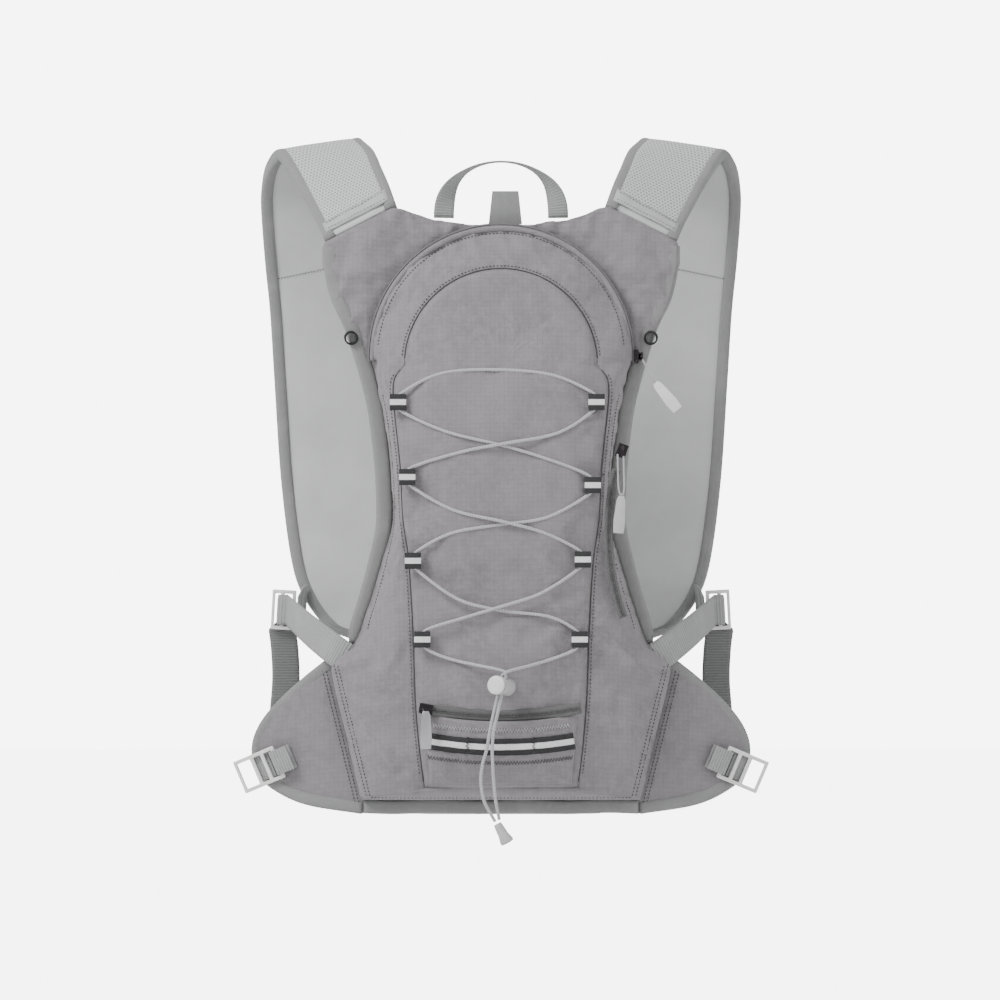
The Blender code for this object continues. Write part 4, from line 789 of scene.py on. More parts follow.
def panel_half(z):
    if z > INNER_ARCH_Z:
        return math.sqrt(max(0, INNER_ARCH_RADIUS**2 - (z - INNER_ARCH_Z)**2))
    return width_at(SIDE_SEAM, z)


def skin_depth(x, z):
    share = min(1, abs(x) / max(panel_half(z), 1 * MM))
    arch = 1.0
    if z > INNER_ARCH_Z:
        reach = math.hypot(x, z - INNER_ARCH_Z) / INNER_ARCH_RADIUS
        arch = 1 - CROWN * min(1, reach) ** 4
        share = 0
    return centre_depth(z) * (1 - CROWN * share**4) * arch


def panel_y(x, z):
    """Where the outer face of the front panel is."""
    return BASE_Y - skin_depth(x, z) - SKIN_LIFT


def bag_outlines(turns, rows, bottom):
    """Matching points round the front panel's seam and round the bag's edge."""
    seam, edge = [], []
    for k in range(rows):
        share = k / rows
        z_seam = PANEL_LOW_Z + (INNER_ARCH_Z - PANEL_LOW_Z) * share
        z_edge = BAG_LOW_Z + (ARCH_Z - BAG_LOW_Z) * share
        seam.append((-panel_half(z_seam), z_seam))
        edge.append((-width_at(BAG_EDGE, z_edge), z_edge))
    for k in range(turns + 1):
        angle = math.pi * (1 - k / turns)
        seam.append((INNER_ARCH_RADIUS * math.cos(angle),
                     INNER_ARCH_Z + INNER_ARCH_RADIUS * math.sin(angle)))
        edge.append((ARCH_RADIUS * math.cos(angle), ARCH_Z + ARCH_RADIUS * math.sin(angle)))
    for k in range(rows - 1, -1, -1):
        seam.append((-seam[k][0], seam[k][1]))
        edge.append((-edge[k][0], edge[k][1]))
    for k in range(1, bottom):
        share = 1 - 2 * k / bottom
        seam.append((panel_half(PANEL_LOW_Z) * share, PANEL_LOW_Z))
        edge.append((width_at(BAG_EDGE, BAG_LOW_Z) * share, BAG_LOW_Z))
    return seam, edge


def folds(x, z):
    """How far the bag's cloth stands out at a place: soft hollows, slanting folds and crinkle."""
    at = Vector((x, 0, z))
    broad = noise.noise(at / (55 * MM)) * 2.2 * MM
    slant = Vector((x * 0.8 + z * 0.35, 0, z * 0.3 - x * 0.2))
    creases = -abs(noise.noise(slant / (22 * MM) + Vector((3.1, 0, 0)))) * 3.0 * MM
    fine = crinkle(at, 15 * MM, 5.0) * 0.4 * MM
    return broad + creases + fine


def make_bag():
    """The bag's sides and arch, from the front panel's seam round to the back."""
    seam, edge = bag_outlines(84, 90, 34)
    rings = []
    count = 22
    for k in range(count + 1):
        share = k / count
        ring = []
        for (sx, sz), (ex, ez) in zip(seam, edge):
            x, z = sx + (ex - sx) * share, sz + (ez - sz) * share
            depth = skin_depth(sx, sz) * math.sqrt(max(0, 1 - share * share))
            puff = folds(x, z) * math.sin(math.pi * min(1, share * 1.02)) ** 0.7
            gather = math.sin(math.hypot(ex, ez + 0.3) * 900 + x * 400) * 0.25 * MM * (1 - share) ** 3
            out = Vector((ex - sx, 0, ez - sz))
            out = out.normalized() if out.length > 1 * MM else Vector((0, 0, -1))
            way = (out * share + OUT * (1 - share)).normalized()
            ring.append(Vector((x, BASE_Y - depth, z)) + way * (puff + gather))
        rings.append(ring)
    bm = loft(rings, caps=False)
    piece = keep("bag_sides", bm, ripstop, "pack", ("main_bag",))
    settle(piece, lambda p: 0.0 if p.y < BASE_Y - 6 * MM and not near_seam(p) else 1.0,
           0.0, 0.03, 3 * MM)
    add_wall(piece, 1.2 * MM)
    return piece


def near_seam(p):
    half = panel_half(p.z)
    if p.z > INNER_ARCH_Z:
        return abs(math.hypot(p.x, p.z - INNER_ARCH_Z) - INNER_ARCH_RADIUS) < 2 * MM
    return abs(abs(p.x) - half) < 2 * MM or p.z < PANEL_LOW_Z + 3 * MM


def make_front():
    """The front panel's cloth: taut round its seam, crinkled and pressed in between."""
    seam, _ = bag_outlines(84, 90, 34)
    spine_top, spine_low = INNER_ARCH_Z, PANEL_LOW_Z + 60 * MM
    rings = []
    count = 22
    for k in range(count + 1):
        share = (k / count) ** 0.9
        ring = []
        for x, z in seam:
            spine = max(spine_low, min(spine_top, z))
            px, pz = x * share, spine + (z - spine) * share
            inside = 1 - share**8
            puff = folds(px, pz) * inside
            edge = -1.6 * MM * share**30
            ring.append(Vector((px, panel_y(px, pz) - puff - edge, pz)))
        rings.append(ring)
    bm = loft(rings, caps=False)
    bmesh.ops.remove_doubles(bm, verts=bm.verts[:], dist=0.05 * MM)
    piece = keep("front_cloth", bm, ripstop, "pack", ("front_panel",))
    settle(piece, lambda p: 1.0 if near_seam(p) else 0.02, 0.0, 0.03, 2.2 * MM)
    add_wall(piece, 0.9 * MM)
    return piece


def yoke_edge():
    """The outer edge of a shoulder panel: from the neck, past the strap, down the armhole."""
    edge = [Vector((x, 0, z)) * MM for x, z in NECKLINE[1:]]
    for k in range(9):
        z = (-93 - 78 * k / 8) * MM
        edge.append(Vector((width_at(BODY_EDGE, z), 0, z)))
    return spaced(edge, 3 * MM)


def make_yoke(word, side):
    """The shoulder cloth beside the arch, gathered where the strap pulls on it."""
    outer = yoke_edge()
    count = len(outer) - 1
    rings = []
    for k, target in enumerate(outer):
        angle = math.radians(82 - 84 * k / count)
        start = Vector(((ARCH_RADIUS - 1.5 * MM) * math.cos(angle), 0,
                        ARCH_Z + (ARCH_RADIUS - 1.5 * MM) * math.sin(angle)))
        row = []
        columns = 16
        for j in range(columns + 1):
            share = j / columns
            p = start.lerp(target, share)
            bulge = math.sin(math.pi * share) ** 0.8
            puff = 2.4 * MM * bulge + folds(p.x * 1.3, p.z * 1.3) * 1.3 * bulge
            pleats = math.sin(p.x * 420 - p.z * 160) * 0.9 * MM * bulge * max(0, 1 - k / count * 1.6)
            p.y = BASE_Y - 1.2 * MM - puff - pleats
            p.x *= side
            row.append(p)
        rings.append(row)
    bm = loft(rings, closed=False)
    piece = keep("shoulder_cloth_" + word, bm, ripstop, "pack", ("yoke_panel_" + word,))
    settle(piece, lambda p: 1.0 if p.y > BASE_Y - 1.6 * MM else 0.0, 0.0, 0.03, 3 * MM)
    add_wall(piece, 0.9 * MM, 1 if side > 0 else -1)
    return piece


# ---- shoulder straps ---------------------------------------------------------------------------------
def strap_edges(side, steps=5):
    return (curve_through(in_mm(STRAP_NECK_EDGE, side), steps),
            curve_through(in_mm(STRAP_ARM_EDGE, side), steps))


def strap_normals(neck, arm, side):
    """Ways out of the strap's outer face along its length."""
    ways = []
    for k in range(len(neck)):
        a, b = max(k - 1, 0), min(k + 1, len(neck) - 1)
        run = (neck[b] + arm[b]) - (neck[a] + arm[a])
        ways.append(run.cross(arm[k] - neck[k]).normalized() * -side)
    return ways


def rooted(path):
    """The path with one more point before its start, where the strap runs into the pack's seam."""
    return [path[0] + (path[0] - path[1]).normalized() * STRAP_ROOT, *path]


def make_strap(word, side):
    neck, arm = [rooted(edge) for edge in strap_edges(side)]
    ways = strap_normals(neck, arm, side)
    rings = []
    columns = 16
    for k, (a, b) in enumerate(zip(neck, arm)):
        top, low = [], []
        for j in range(columns + 1):
            share = j / columns
            p = a.lerp(b, share)
            fullness = math.sqrt(max(0.0, 1 - abs(2 * share - 1) ** 5))
            ripple = crinkle(p, 26 * MM, 2.0 + side) * 0.7 * MM * fullness
            top.append(p + ways[k] * (ripple - STRAP_THICKNESS / 2 + STRAP_THICKNESS * 0.52 * fullness))
            low.append(p - ways[k] * (ripple + STRAP_THICKNESS / 2 + STRAP_THICKNESS * 0.52 * fullness))
        rings.append(top + low[::-1])
    bm = loft(rings)
    piece = keep("strap_padding_" + word, bm, lining, "pack", ("shoulder_strap_" + word,))
    settle(piece, lambda p: 0.0, 1.2, 0.015, 1.6 * MM)
    add_subdivision(piece, 1)
    return piece


def make_strap_binding(word, side):
    """Folded tape round both edges of the strap."""
    for edge_word, which in (("neck", 0), ("arm", 1)):
        edges = [rooted(edge) for edge in strap_edges(side, 6)]
        ways = strap_normals(*edges, side)
        path, other = edges[which], edges[1 - which]
        rings = []
        for k, p in enumerate(path):
            inward = (other[k] - p).normalized()
            face = ways[k]
            centre = p - face * (STRAP_THICKNESS * 0.5) + inward * 3.5 * MM
            rings.append([centre + inward * (5.0 * MM * oval(t)[0]) + face * (5.4 * MM * oval(t)[1])
                          for t in range(14)])
        bm = loft(rings)
        keep(f"strap_binding_{edge_word}_{word}", bm, binding, "pack")


def oval(t, count=14, square=0.62):
    angle = 2 * math.pi * t / count
    x, y = math.cos(angle), math.sin(angle)
    return (math.copysign(abs(x) ** square, x), math.copysign(abs(y) ** square, y))


def make_strap_mesh(word, side):
    """Open mesh over the strap, from its shoulder seam to past the top."""
    neck, arm = strap_edges(side)
    ways = strap_normals(neck, arm, side)
    rings = []
    for k in range(2, 27):
        row = []
        for j in range(13):
            share = 0.05 + 0.9 * j / 12
            p = neck[k].lerp(arm[k], share)
            fullness = 1 - abs(2 * share - 1) ** 4
            row.append(p + ways[k] * (0.7 * MM + 1.1 * MM * fullness))
        rings.append(row)
    bm = loft(rings, closed=False)
    piece = keep("strap_mesh_cover_" + word, bm, mesh_cloth, "pack", ("strap_mesh_" + word,))
    add_wall(piece, 0.8 * MM, 0)
    rings = []
    for k in range(0, 4):
        row = []
        for j in range(13):
            p = neck[k].lerp(arm[k], 0.04 + 0.92 * j / 12)
            row.append(p + ways[k] * (1.9 * MM + 0.3 * MM * math.sin(j)))
        rings.append(row)
    band = keep("strap_hem_" + word, loft(rings, closed=False), hem_tape, "pack")
    add_wall(band, 1.1 * MM, 0)
    for row in (0.6, 2.5):
        low = int(row)
        line = []
        for j in range(25):
            share = 0.05 + 0.9 * j / 24
            a = neck[low].lerp(neck[low + 1], row - low)
            b = arm[low].lerp(arm[low + 1], row - low)
            line.append(a.lerp(b, share) + ways[low] * 2.7 * MM)
        stitches(f"hem_stitches_{word}_{low}", line, seam_thread)


# ---- edges of the pack -------------------------------------------------------------------------------
def make_armhole_binding(word, side):
    """The rolled tape that edges the armhole, from the strap down to the hip fin."""
    rings = []
    low = BODY_EDGE[-1][0] * MM
    count = 90
    for k in range(count + 1):
        z = (-78 * MM) + (low + 78 * MM) * k / count
        if z > BODY_EDGE[0][0] * MM:
            outer = 142.5 * MM
        else:
            outer = width_at(BODY_EDGE, z)
        inner = max(width_at(BAG_EDGE, z) - 1.5 * MM, outer - 12 * MM) if z < ARCH_Z else outer - 11 * MM
        centre = Vector(((outer + inner) / 2 + 0.8 * MM, (BASE_Y - 1 * MM + BACK_REAR_Y) / 2, z))
        wide, deep = (outer - inner) / 2 + 0.8 * MM, (BACK_REAR_Y - BASE_Y) / 2 + 2.1 * MM
        rings.append([Vector(((centre.x + wide * oval(t)[0]) * side, centre.y + deep * oval(t)[1], z))
                      for t in range(14)])
    bm = loft(rings)
    return keep("armhole_edging_" + word, bm, binding, "pack", ("armhole_binding_" + word,))


def fin_y(x):
    start = FIN_SEAM[1][0] * MM
    share = max(0, (x - start) / (FIN_TIP_X - start))
    return BACK_REAR_Y - 2 * MM + FIN_SWEEP * share**2


def make_fin(word, side):
    """A padded hip fin: ripstop outside, seamed across, with a rolled edge."""
    edge = spaced(curve_through([Vector((x, 0, z)) * MM for x, z in FIN_EDGE], 6), 3.5 * MM)
    count = len(edge) - 1
    rings = []
    columns = 18
    for k, tip in enumerate(edge):
        share = k / count
        seam = Vector((FIN_SEAM[0][0], 0, FIN_SEAM[0][1])).lerp(
            Vector((FIN_SEAM[1][0], 0, FIN_SEAM[1][1])), share) * MM
        seam.x -= FIN_UNDERLAP
        front, back = [], []
        for j in range(columns + 1):
            p = seam.lerp(tip, j / columns)
            full = math.sqrt(max(0.0, 1 - (2 * share - 1) ** 8)) * math.sqrt(max(0.0, 1 - (j / columns) ** 8))
            relief = folds(p.x * 1.1, p.z) * 0.9 * full
            y = fin_y(p.x)
            front.append(Vector((p.x * side, y - FIN_THICKNESS * (0.1 + 0.55 * full) - relief, p.z)))
            back.append(Vector((p.x * side, y + FIN_THICKNESS * (0.1 + 0.45 * full), p.z)))
        rings.append(front + back[::-1])
    piece = keep("fin_padding_" + word, loft(rings), fin_cloth, None, ("hip_fin_" + word,))
    settle(piece, lambda p: 0.0, 0.8, 0.015, 1.8 * MM)
    add_subdivision(piece, 1)
    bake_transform(piece)
    path = [Vector((p.x * side, fin_y(p.x), p.z)) for p in edge]
    return piece, path


def make_fin_edge(word, side, path):
    rings = []
    for k, p in enumerate(path):
        ahead = (path[min(k + 1, len(path) - 1)] - path[max(k - 1, 0)]).normalized()
        inward = ahead.cross(OUT).normalized()
        if inward.x * side > 0:
            inward = -inward
        if abs(inward.x) < 0.35 and inward.z < 0 and k > len(path) // 2:
            inward = -inward
        rings.append([p + inward * (5.2 * MM * oval(t)[0] + 3.8 * MM) + OUT * (4.6 * MM * oval(t)[1])
                      for t in range(14)])
    return keep("fin_edging_" + word, loft(rings), binding, "fin_" + word)


# ---- lacing and cords: their routes come first in the making -----------------------------------------
CORD_DIAMETER = 2.6 * MM
LOCK_CENTRE = (0.6, -151.5, -431)
CORD_LEAN = 0.2256
CORD_SPACING = 3.4
CORD_MEET = 0.15
LOCK_RUN = 27
TAB_DEPTH = 5.6 * MM
TAB_HALF = 6.5 * MM
TAB_CENTRES = ((-82.5, -204), (-75, -264), (-70.5, -331), (-63, -394),
               (76.5, -204), (73.5, -270.5), (65.5, -330), (63, -394))
# Up from the lock through the tabs in turn, over the top and back down: (x, lift off the cloth, z).
LACING_ROUTE = (
    (-19, 6, -414.5), (-41, 1, -409.5), (-59, 1.2, -402), (-62.5, 1.2, -394),
    (-59, 1.2, -386), (-26, 1.2, -375.5), (2, 4.4, -367), (32, 1.2, -357),
    (61.5, 1.2, -338), (65, 1.2, -330), (61.5, 1.2, -322), (34, 1.2, -308.5), (1, 4.4, -299.5),
    (-38, 1.2, -290.5), (-71, 1.2, -272), (-74.5, 1.2, -264), (-71, 1.2, -256),
    (-30, 1.2, -243.5), (4, 4.4, -237), (45, 1.2, -229), (72.5, 1.2, -212), (76, 1.2, -204),
    (72.5, 1.2, -196), (40, 1.2, -182), (-6, 1.2, -178), (-48, 1.2, -181), (-78.5, 1.2, -196),
    (-82, 1.2, -204), (-78.5, 1.2, -212), (-43, 1.2, -228), (6, 1.2, -240), (44, 1.2, -252),
    (69.5, 1.2, -262.5), (73, 1.2, -270.5), (69.5, 1.2, -278.5), (36, 1.2, -296.5),
    (-4, 1.2, -302.5), (-40, 1.2, -309), (-66.5, 1.2, -323), (-70, 1.2, -331), (-66.5, 1.2, -339),
    (-34, 1.2, -362), (2, 1.2, -371), (38, 1.2, -375.5), (59, 1.2, -386), (62.5, 1.2, -394),
    (59, 1.2, -402), (41, 1, -409.5), (22, 6, -415))
TAIL_LEFT_ROUTE = ((-9.1, -151.3, -468), (-11.2, -150.6, -481), (-14.8, -149.5, -494),
                   (-16, -148.6, -508), (-13.4, -148, -523), (-7.2, -147.2, -535),
                   (-4.6, -147, -539.4))
TAIL_RIGHT_ROUTE = ((-6.1, -151.9, -468), (-7.0, -150.9, -481), (-6.6, -149.5, -494),
                    (-5.8, -148.6, -508), (-4.2, -148, -523), (-2.2, -147.2, -533.5),
                    (-1.4, -147, -538))


def frame_at(origin, x_way, z_way):
    z = Vector(z_way).normalized()
    y = z.cross(Vector(x_way)).normalized()
    return Matrix.Translation(origin) @ Matrix((y.cross(z), y, z)).transposed().to_4x4()


def cord_lock_frame():
    along_cords = Vector((CORD_LEAN, 0, 1)).normalized()
    out = Vector((-0.40, -0.86, 0.30))
    out -= along_cords * out.dot(along_cords)
    return frame_at(Vector(LOCK_CENTRE) * MM, along_cords, out)


def in_lock(side, *heights):
    """Points on the left (-1) or right (1) cord as it runs through the lock."""
    place = cord_lock_frame()
    return [place @ (Vector((height, -side * CORD_SPACING / 2, 0)) * MM) for height in heights]


def tab_y(x, z):
    under = min(panel_y(x + a, z + b) for a in (-TAB_HALF, 0, TAB_HALF) for b in (-TAB_HALF, 0, TAB_HALF))
    return under - 0.6 * MM - TAB_DEPTH / 2


def lacing_points():
    points = in_lock(-1, CORD_MEET, 4, 8, 12)
    for x, lift, z in LACING_ROUTE:
        y = panel_y(x * MM, z * MM) - lift * MM - CORD_DIAMETER / 2
        for tab_x, tab_z in TAB_CENTRES:
            if abs(x - tab_x) < 8 and abs(z - tab_z) < 10.5:
                y = tab_y(tab_x * MM, tab_z * MM)
        points.append(Vector((x * MM, y, z * MM)))
    return points + in_lock(1, 12, 8, 4, CORD_MEET)


def make_lacing():
    path = curve_through(lacing_points(), 5)
    cord = keep("elastic_lacing", rope(path, CORD_DIAMETER / 2), elastic, "pack", ("lacing_cord",))
    path_length(path)
    ends = rigid_piece("cord_end", grey_plastic, "pack", 0.5 * MM)
    for word, side, route in (("left", -1, TAIL_LEFT_ROUTE), ("right", 1, TAIL_RIGHT_ROUTE)):
        path = curve_through(in_lock(side, -CORD_MEET, -10, -LOCK_RUN) + in_mm(route), 5)
        tail = keep("cord_end_run_" + word, rope(path, CORD_DIAMETER / 2), elastic, "pack",
                    ("cord_tail_" + word,))
        path_length(path)


# ---- webbing -----------------------------------------------------------------------------------------
BAR = 3 * MM
WEB_WIDTH = 25 * MM
WEB_THICKNESS = 1.5 * MM
BAR_TURN = BAR / 2 * math.sqrt(2) + 0.6 * MM + WEB_THICKNESS / 2
STRAP_BAR_TOP = (177.0, -1.0, -357.5)
STRAP_BAR_LOW = (178.5, -1.0, -385.5)
WEB_ROOT_TOP = (117.5, -89.0, -400)
WEB_ROOT_LOW = (130.5, -89.0, -420)
WEB_BEND = (150, -92, -392)
HIP_LOCK_TILT = math.radians(23)
WEB_TAIL = ((0, 1.2, 14.5), (2, 2, 32), (3, 2, 56), (1, 1, 84))


def make_adjuster(word, side):
    """Light webbing from the side seam round the lock's bar; its free end hangs behind, the same webbing
    painted darker as shade.
    """
    top, low = in_mm((STRAP_BAR_TOP, STRAP_BAR_LOW), side)
    root_top, root_low = in_mm((WEB_ROOT_TOP, WEB_ROOT_LOW), side)
    bar, root = (top + low) / 2, (root_top + root_low) / 2
    bar_way, root_way = (top - low).normalized(), (root_top - root_low).normalized()
    near = bar + Vector((-side * 4 * MM, -BAR_TURN, 0))
    bend = in_mm((WEB_BEND,), side)[0]
    centres, ways = [], []
    for k in range(25):
        share = k / 24
        centres.append(root.lerp(bend, share).lerp(bend.lerp(near, share), share))
        ways.append(root_way.lerp(bar_way, share))
    for k in range(1, 12):
        angle = math.radians(-90 + 180 * k / 12)
        centres.append(bar + Vector((side * math.cos(angle) * BAR_TURN, math.sin(angle) * BAR_TURN, 0)))
        ways.append(bar_way)
    keep("adjuster_webbing_" + word, ribbon(centres, ways, WEB_WIDTH * 0.98, WEB_THICKNESS, 8),
         light_webbing, "pack", ("adjuster_web_" + word,))
    hang = bar + Vector((0, BAR_TURN, 0))
    tail = [centres[-1], hang + Vector((-side * 0.3, 0.5, -4)) * MM]
    tail += [hang + Vector((-side * a, b, -c)) * MM for a, b, c in WEB_TAIL]
    tail = curve_through(tail, 6)
    turn = [bar_way.slerp(Vector((-side, 0, 0)), min(1.0, k / 14)) for k in range(len(tail))]
    # the hanging tail is the same webbing, painted darker as shade
    keep("adjuster_tail_" + word, ribbon(tail, turn, WEB_WIDTH * 0.9, WEB_THICKNESS, 8),
         shade_painted_webbing, "pack")
    sewn = root.lerp(bend, 0.04).lerp(bend.lerp(near, 0.04), 0.04) + OUT * 1.0 * MM
    tack = [sewn + root_way * (t * MM) for t in range(-10, 11)]
    stitches("adjuster_stitches_" + word, tack, seam_thread)


def cad_web(node, finish, body, along, across):
    """A short piece of webbing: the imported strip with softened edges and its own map."""
    bm = from_cad(node)
    bmesh.ops.join_triangles(bm, faces=bm.faces[:], angle_face_threshold=math.radians(25),
                             angle_shape_threshold=math.radians(60))
    edges = [e for e in bm.edges if len(e.link_faces) == 2 and e.calc_face_angle() > math.radians(50)]
    bmesh.ops.bevel(bm, geom=edges, offset=0.35 * MM, offset_type="OFFSET", segments=3, affect="EDGES",
                    profile=0.5, material=-1, clamp_overlap=True)
    map_flat(bm, lambda p: (p.dot(across), p.dot(along)))
    piece = keep(node + "_weave", bm, finish, body, (node,))
    sharpen(piece, 60)
    return piece


def make_haul_loop():
    """The carrying loop: flat where it is sewn, turned on edge at the top."""
    base_y, base_z, top_z, half = (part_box("haul_loop")[0][1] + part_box("haul_loop")[1][1]) / 2, \
        -55.5 * MM, -10 * MM, 46 * MM
    centres, ways = [], []
    for k in range(61):
        angle = math.pi * (1 - k / 60)
        rise = math.sin(angle) ** 0.8
        centres.append(Vector((half * math.cos(angle), base_y, base_z + (top_z - base_z) * rise)))
    for k, centre in enumerate(centres):
        ahead = centres[min(k + 1, 60)] - centres[max(k - 1, 0)]
        flat = Vector((-ahead.z, 0, ahead.x)).normalized()
        turned = math.sin(math.pi * k / 60)
        ways.append((flat * (1 - turned) + Vector((0, -1, 0)) * turned * 1.2).normalized())
    keep("carrying_loop", ribbon(centres, ways, 16.4 * MM, WEB_THICKNESS, 8), webbing, "handle",
         ("haul_loop",))


# ---- zips --------------------------------------------------------------------------------------------
TEETH_PITCH = 1.5 * MM


def arc_path(centre, y, radius, start, stop, count):
    path = []
    for k in range(count + 1):
        angle = math.radians(start + (stop - start) * k / count)
        path.append(Vector((centre[0] + radius * math.cos(angle), y, centre[1] + radius * math.sin(angle))))
    return path


def make_zip(name, node, path, out, tape_width=9 * MM, tape=zip_tape, coil=zip_coil):
    """A coil zip: two tapes side by side and a row of fine teeth between them."""
    ways = []
    for k in range(len(path)):
        ahead = path[min(k + 1, len(path) - 1)] - path[max(k - 1, 0)]
        ways.append(ahead.cross(out(path[k])).normalized())
    keep(name + "_tape", ribbon(path, ways, tape_width, 0.9 * MM, 6), tape, "pack", (node,))
    bm = bmesh.new()
    dots = spaced(path, TEETH_PITCH)
    for k in range(1, len(dots) - 1):
        ahead = (dots[k + 1] - dots[k - 1]).normalized()
        face = out(dots[k])
        across = ahead.cross(face).normalized()
        turn = Matrix((ahead, across, face)).transposed().to_4x4()
        for way in (-1, 1):
            at = dots[k] + face * 0.6 * MM + across * (way * 0.75 * MM)
            at += ahead * (way * TEETH_PITCH * 0.25)
            place = Matrix.Translation(at) @ turn @ Matrix.Diagonal((0.5 * MM, 1.15 * MM, 0.5 * MM, 1))
            bmesh.ops.create_icosphere(bm, subdivisions=1, radius=1.0, matrix=place)
    return keep(name + "_teeth", bm, coil, "pack")


# ---- small pieces ------------------------------------------------------------------------------------
def make_cord_tabs():
    for k, (x, z) in enumerate(TAB_CENTRES):
        word = f"{'left' if x < 0 else 'right'}_{k % 4 + 1}"
        bm = from_cad("cord_tab_" + word)
        bmesh.ops.join_triangles(bm, faces=bm.faces[:], angle_face_threshold=math.radians(10),
                                 angle_shape_threshold=math.radians(60))
        edges = [e for e in bm.edges if len(e.link_faces) == 2 and e.calc_face_angle() > math.radians(50)]
        bmesh.ops.bevel(bm, geom=edges, offset=0.32 * MM, offset_type="OFFSET", segments=3,
                        affect="EDGES", profile=0.5, material=-1, clamp_overlap=True)
        map_flat(bm, lambda p: ((p.z - z * MM) / (2 * TAB_HALF), p.x))
        piece = keep("lace_tab_" + word, bm, reflective, "pack", ("cord_tab_" + word,))
        sharpen(piece, 60)


PIPING_RADIUS = 2.6 * MM
PIPING_INSET = 1.6 * MM
PIPING_STANDOFF = 9.5 * MM


def make_piping():
    """The rolled seam over the arch."""
    path = [Vector((p.x, BASE_Y - PIPING_STANDOFF, p.z))
            for p in arc_path((0, ARCH_Z), 0, ARCH_RADIUS - PIPING_INSET, -2, 182, 120)]
    keep("arch_piping", rope(path, PIPING_RADIUS, 12), ripstop, "pack")


PAD_VOXEL = 2.8 * MM
PAD_CHANNEL_X = 30 * MM                # the two channels down the back
PAD_CHANNEL_STEP = 64 * MM             # from each channel across it to the next
PAD_CHANNEL_HALF = 4 * MM
PAD_SWELL = 1.2 * MM
PAD_SINK = 1.0 * MM


def make_back_pad():
    """The padded mesh back: channels sewn down and across it, swollen between them."""
    bm = from_cad("back_panel")
    mesh = bpy.data.meshes.new("back_pad_core")
    bm.to_mesh(mesh)
    bm.free()
    core = bpy.data.objects.new("back_pad_core", mesh)
    bpy.context.scene.collection.objects.link(core)
    even = core.modifiers.new("even", "REMESH")
    even.mode = "VOXEL"
    even.voxel_size = PAD_VOXEL
    even.adaptivity = 0
    bm = bmesh.new()
    bm.from_mesh(core.evaluated_get(bpy.context.evaluated_depsgraph_get()).to_mesh())
    bpy.data.objects.remove(core)
    bmesh.ops.smooth_vert(bm, verts=bm.verts[:], factor=0.5, use_axis_x=True, use_axis_y=True,
                          use_axis_z=True)
    bmesh.ops.recalc_face_normals(bm, faces=bm.faces[:])
    map_flat(bm, lambda p: (p.x, p.z))
    piece = keep("back_pad", bm, back_mesh, "pack", ("back_panel",))
    settle(piece, lambda p: 0.0 if p.y > BACK_REAR_Y - 2 * MM else 1.0, 3.0, 0.01, 2.5 * MM)
    for vertex in piece.data.vertices:
        if vertex.co.y > BACK_REAR_Y - 2.5 * MM:
            off_down = abs(abs(vertex.co.x) - PAD_CHANNEL_X)
            off_across = abs((vertex.co.z / PAD_CHANNEL_STEP) % 1 - 0.5) * PAD_CHANNEL_STEP
            full = min(off_down, off_across, PAD_CHANNEL_HALF) / PAD_CHANNEL_HALF
            vertex.co.y += PAD_SWELL * full ** 0.6 - PAD_SINK
    return piece


def make_bottom_edge():
    """The rolled tape along the pack's lower edge, from fin to fin."""
    low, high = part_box("bottom_binding")
    middle = (Vector(low) + Vector(high)) / 2
    half = Vector(high) - middle
    rings = []
    for k in range(61):
        x = middle.x + (half.x + 2.5 * MM) * (k / 30 - 1)
        sag = 0.5 * MM * math.sin(x * 90)
        rings.append([Vector((x, middle.y + 2.6 * MM * oval(t)[1],
                              middle.z + sag + (half.z + 0.8 * MM) * oval(t)[0])) for t in range(14)])
    return keep("bottom_edging", loft(rings), binding, "pack", ("bottom_binding",))


def soft_copy(node, finish, longest=9 * MM):
    """A thin sewn piece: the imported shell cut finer, then rumpled like cloth."""
    bm = from_cad(node)
    for _ in range(6):
        long_edges = [edge for edge in bm.edges if edge.calc_length() > longest]
        if not long_edges:
            break
        bmesh.ops.subdivide_edges(bm, edges=long_edges, cuts=1)
        bmesh.ops.triangulate(bm, faces=bm.faces[:])
    for vertex in bm.verts:
        vertex.co.y += crinkle(vertex.co, 30 * MM, 4.0) * 0.6 * MM
    map_flat(bm, lambda p: (p.x + p.y * 0.5, p.z))
    piece = keep(node + "_cloth", bm, finish, "pack", (node,))
    sharpen(piece, 50)
    return piece


PULL_CORD_DIAMETER = 1.5 * MM
PULL_CORD_SPREAD = 5 * MM
MAIN_EYE = (111.7, -90, -167)
MAIN_GRIP_TOP = (124, -97, -188)
MAIN_GRIP_LOW = (142, -97, -210)
SIDE_EYE = (96.86, -133.4, -243)


def cord_loop(start, stop, spread_way):
    """Route of a doubled pull cord: out from the slider, round the pull's eye and back."""
    side = spread_way.normalized() * PULL_CORD_SPREAD / 2
    down = (stop - start).normalized()
    return [start + side, start.lerp(stop, 0.4) + side, start.lerp(stop, 0.8) + side,
            stop + side * 0.6 + down * 0.6 * MM, stop + down * 1.1 * MM,
            stop - side * 0.6 + down * 0.6 * MM, start.lerp(stop, 0.8) - side,
            start.lerp(stop, 0.4) - side, start - side]


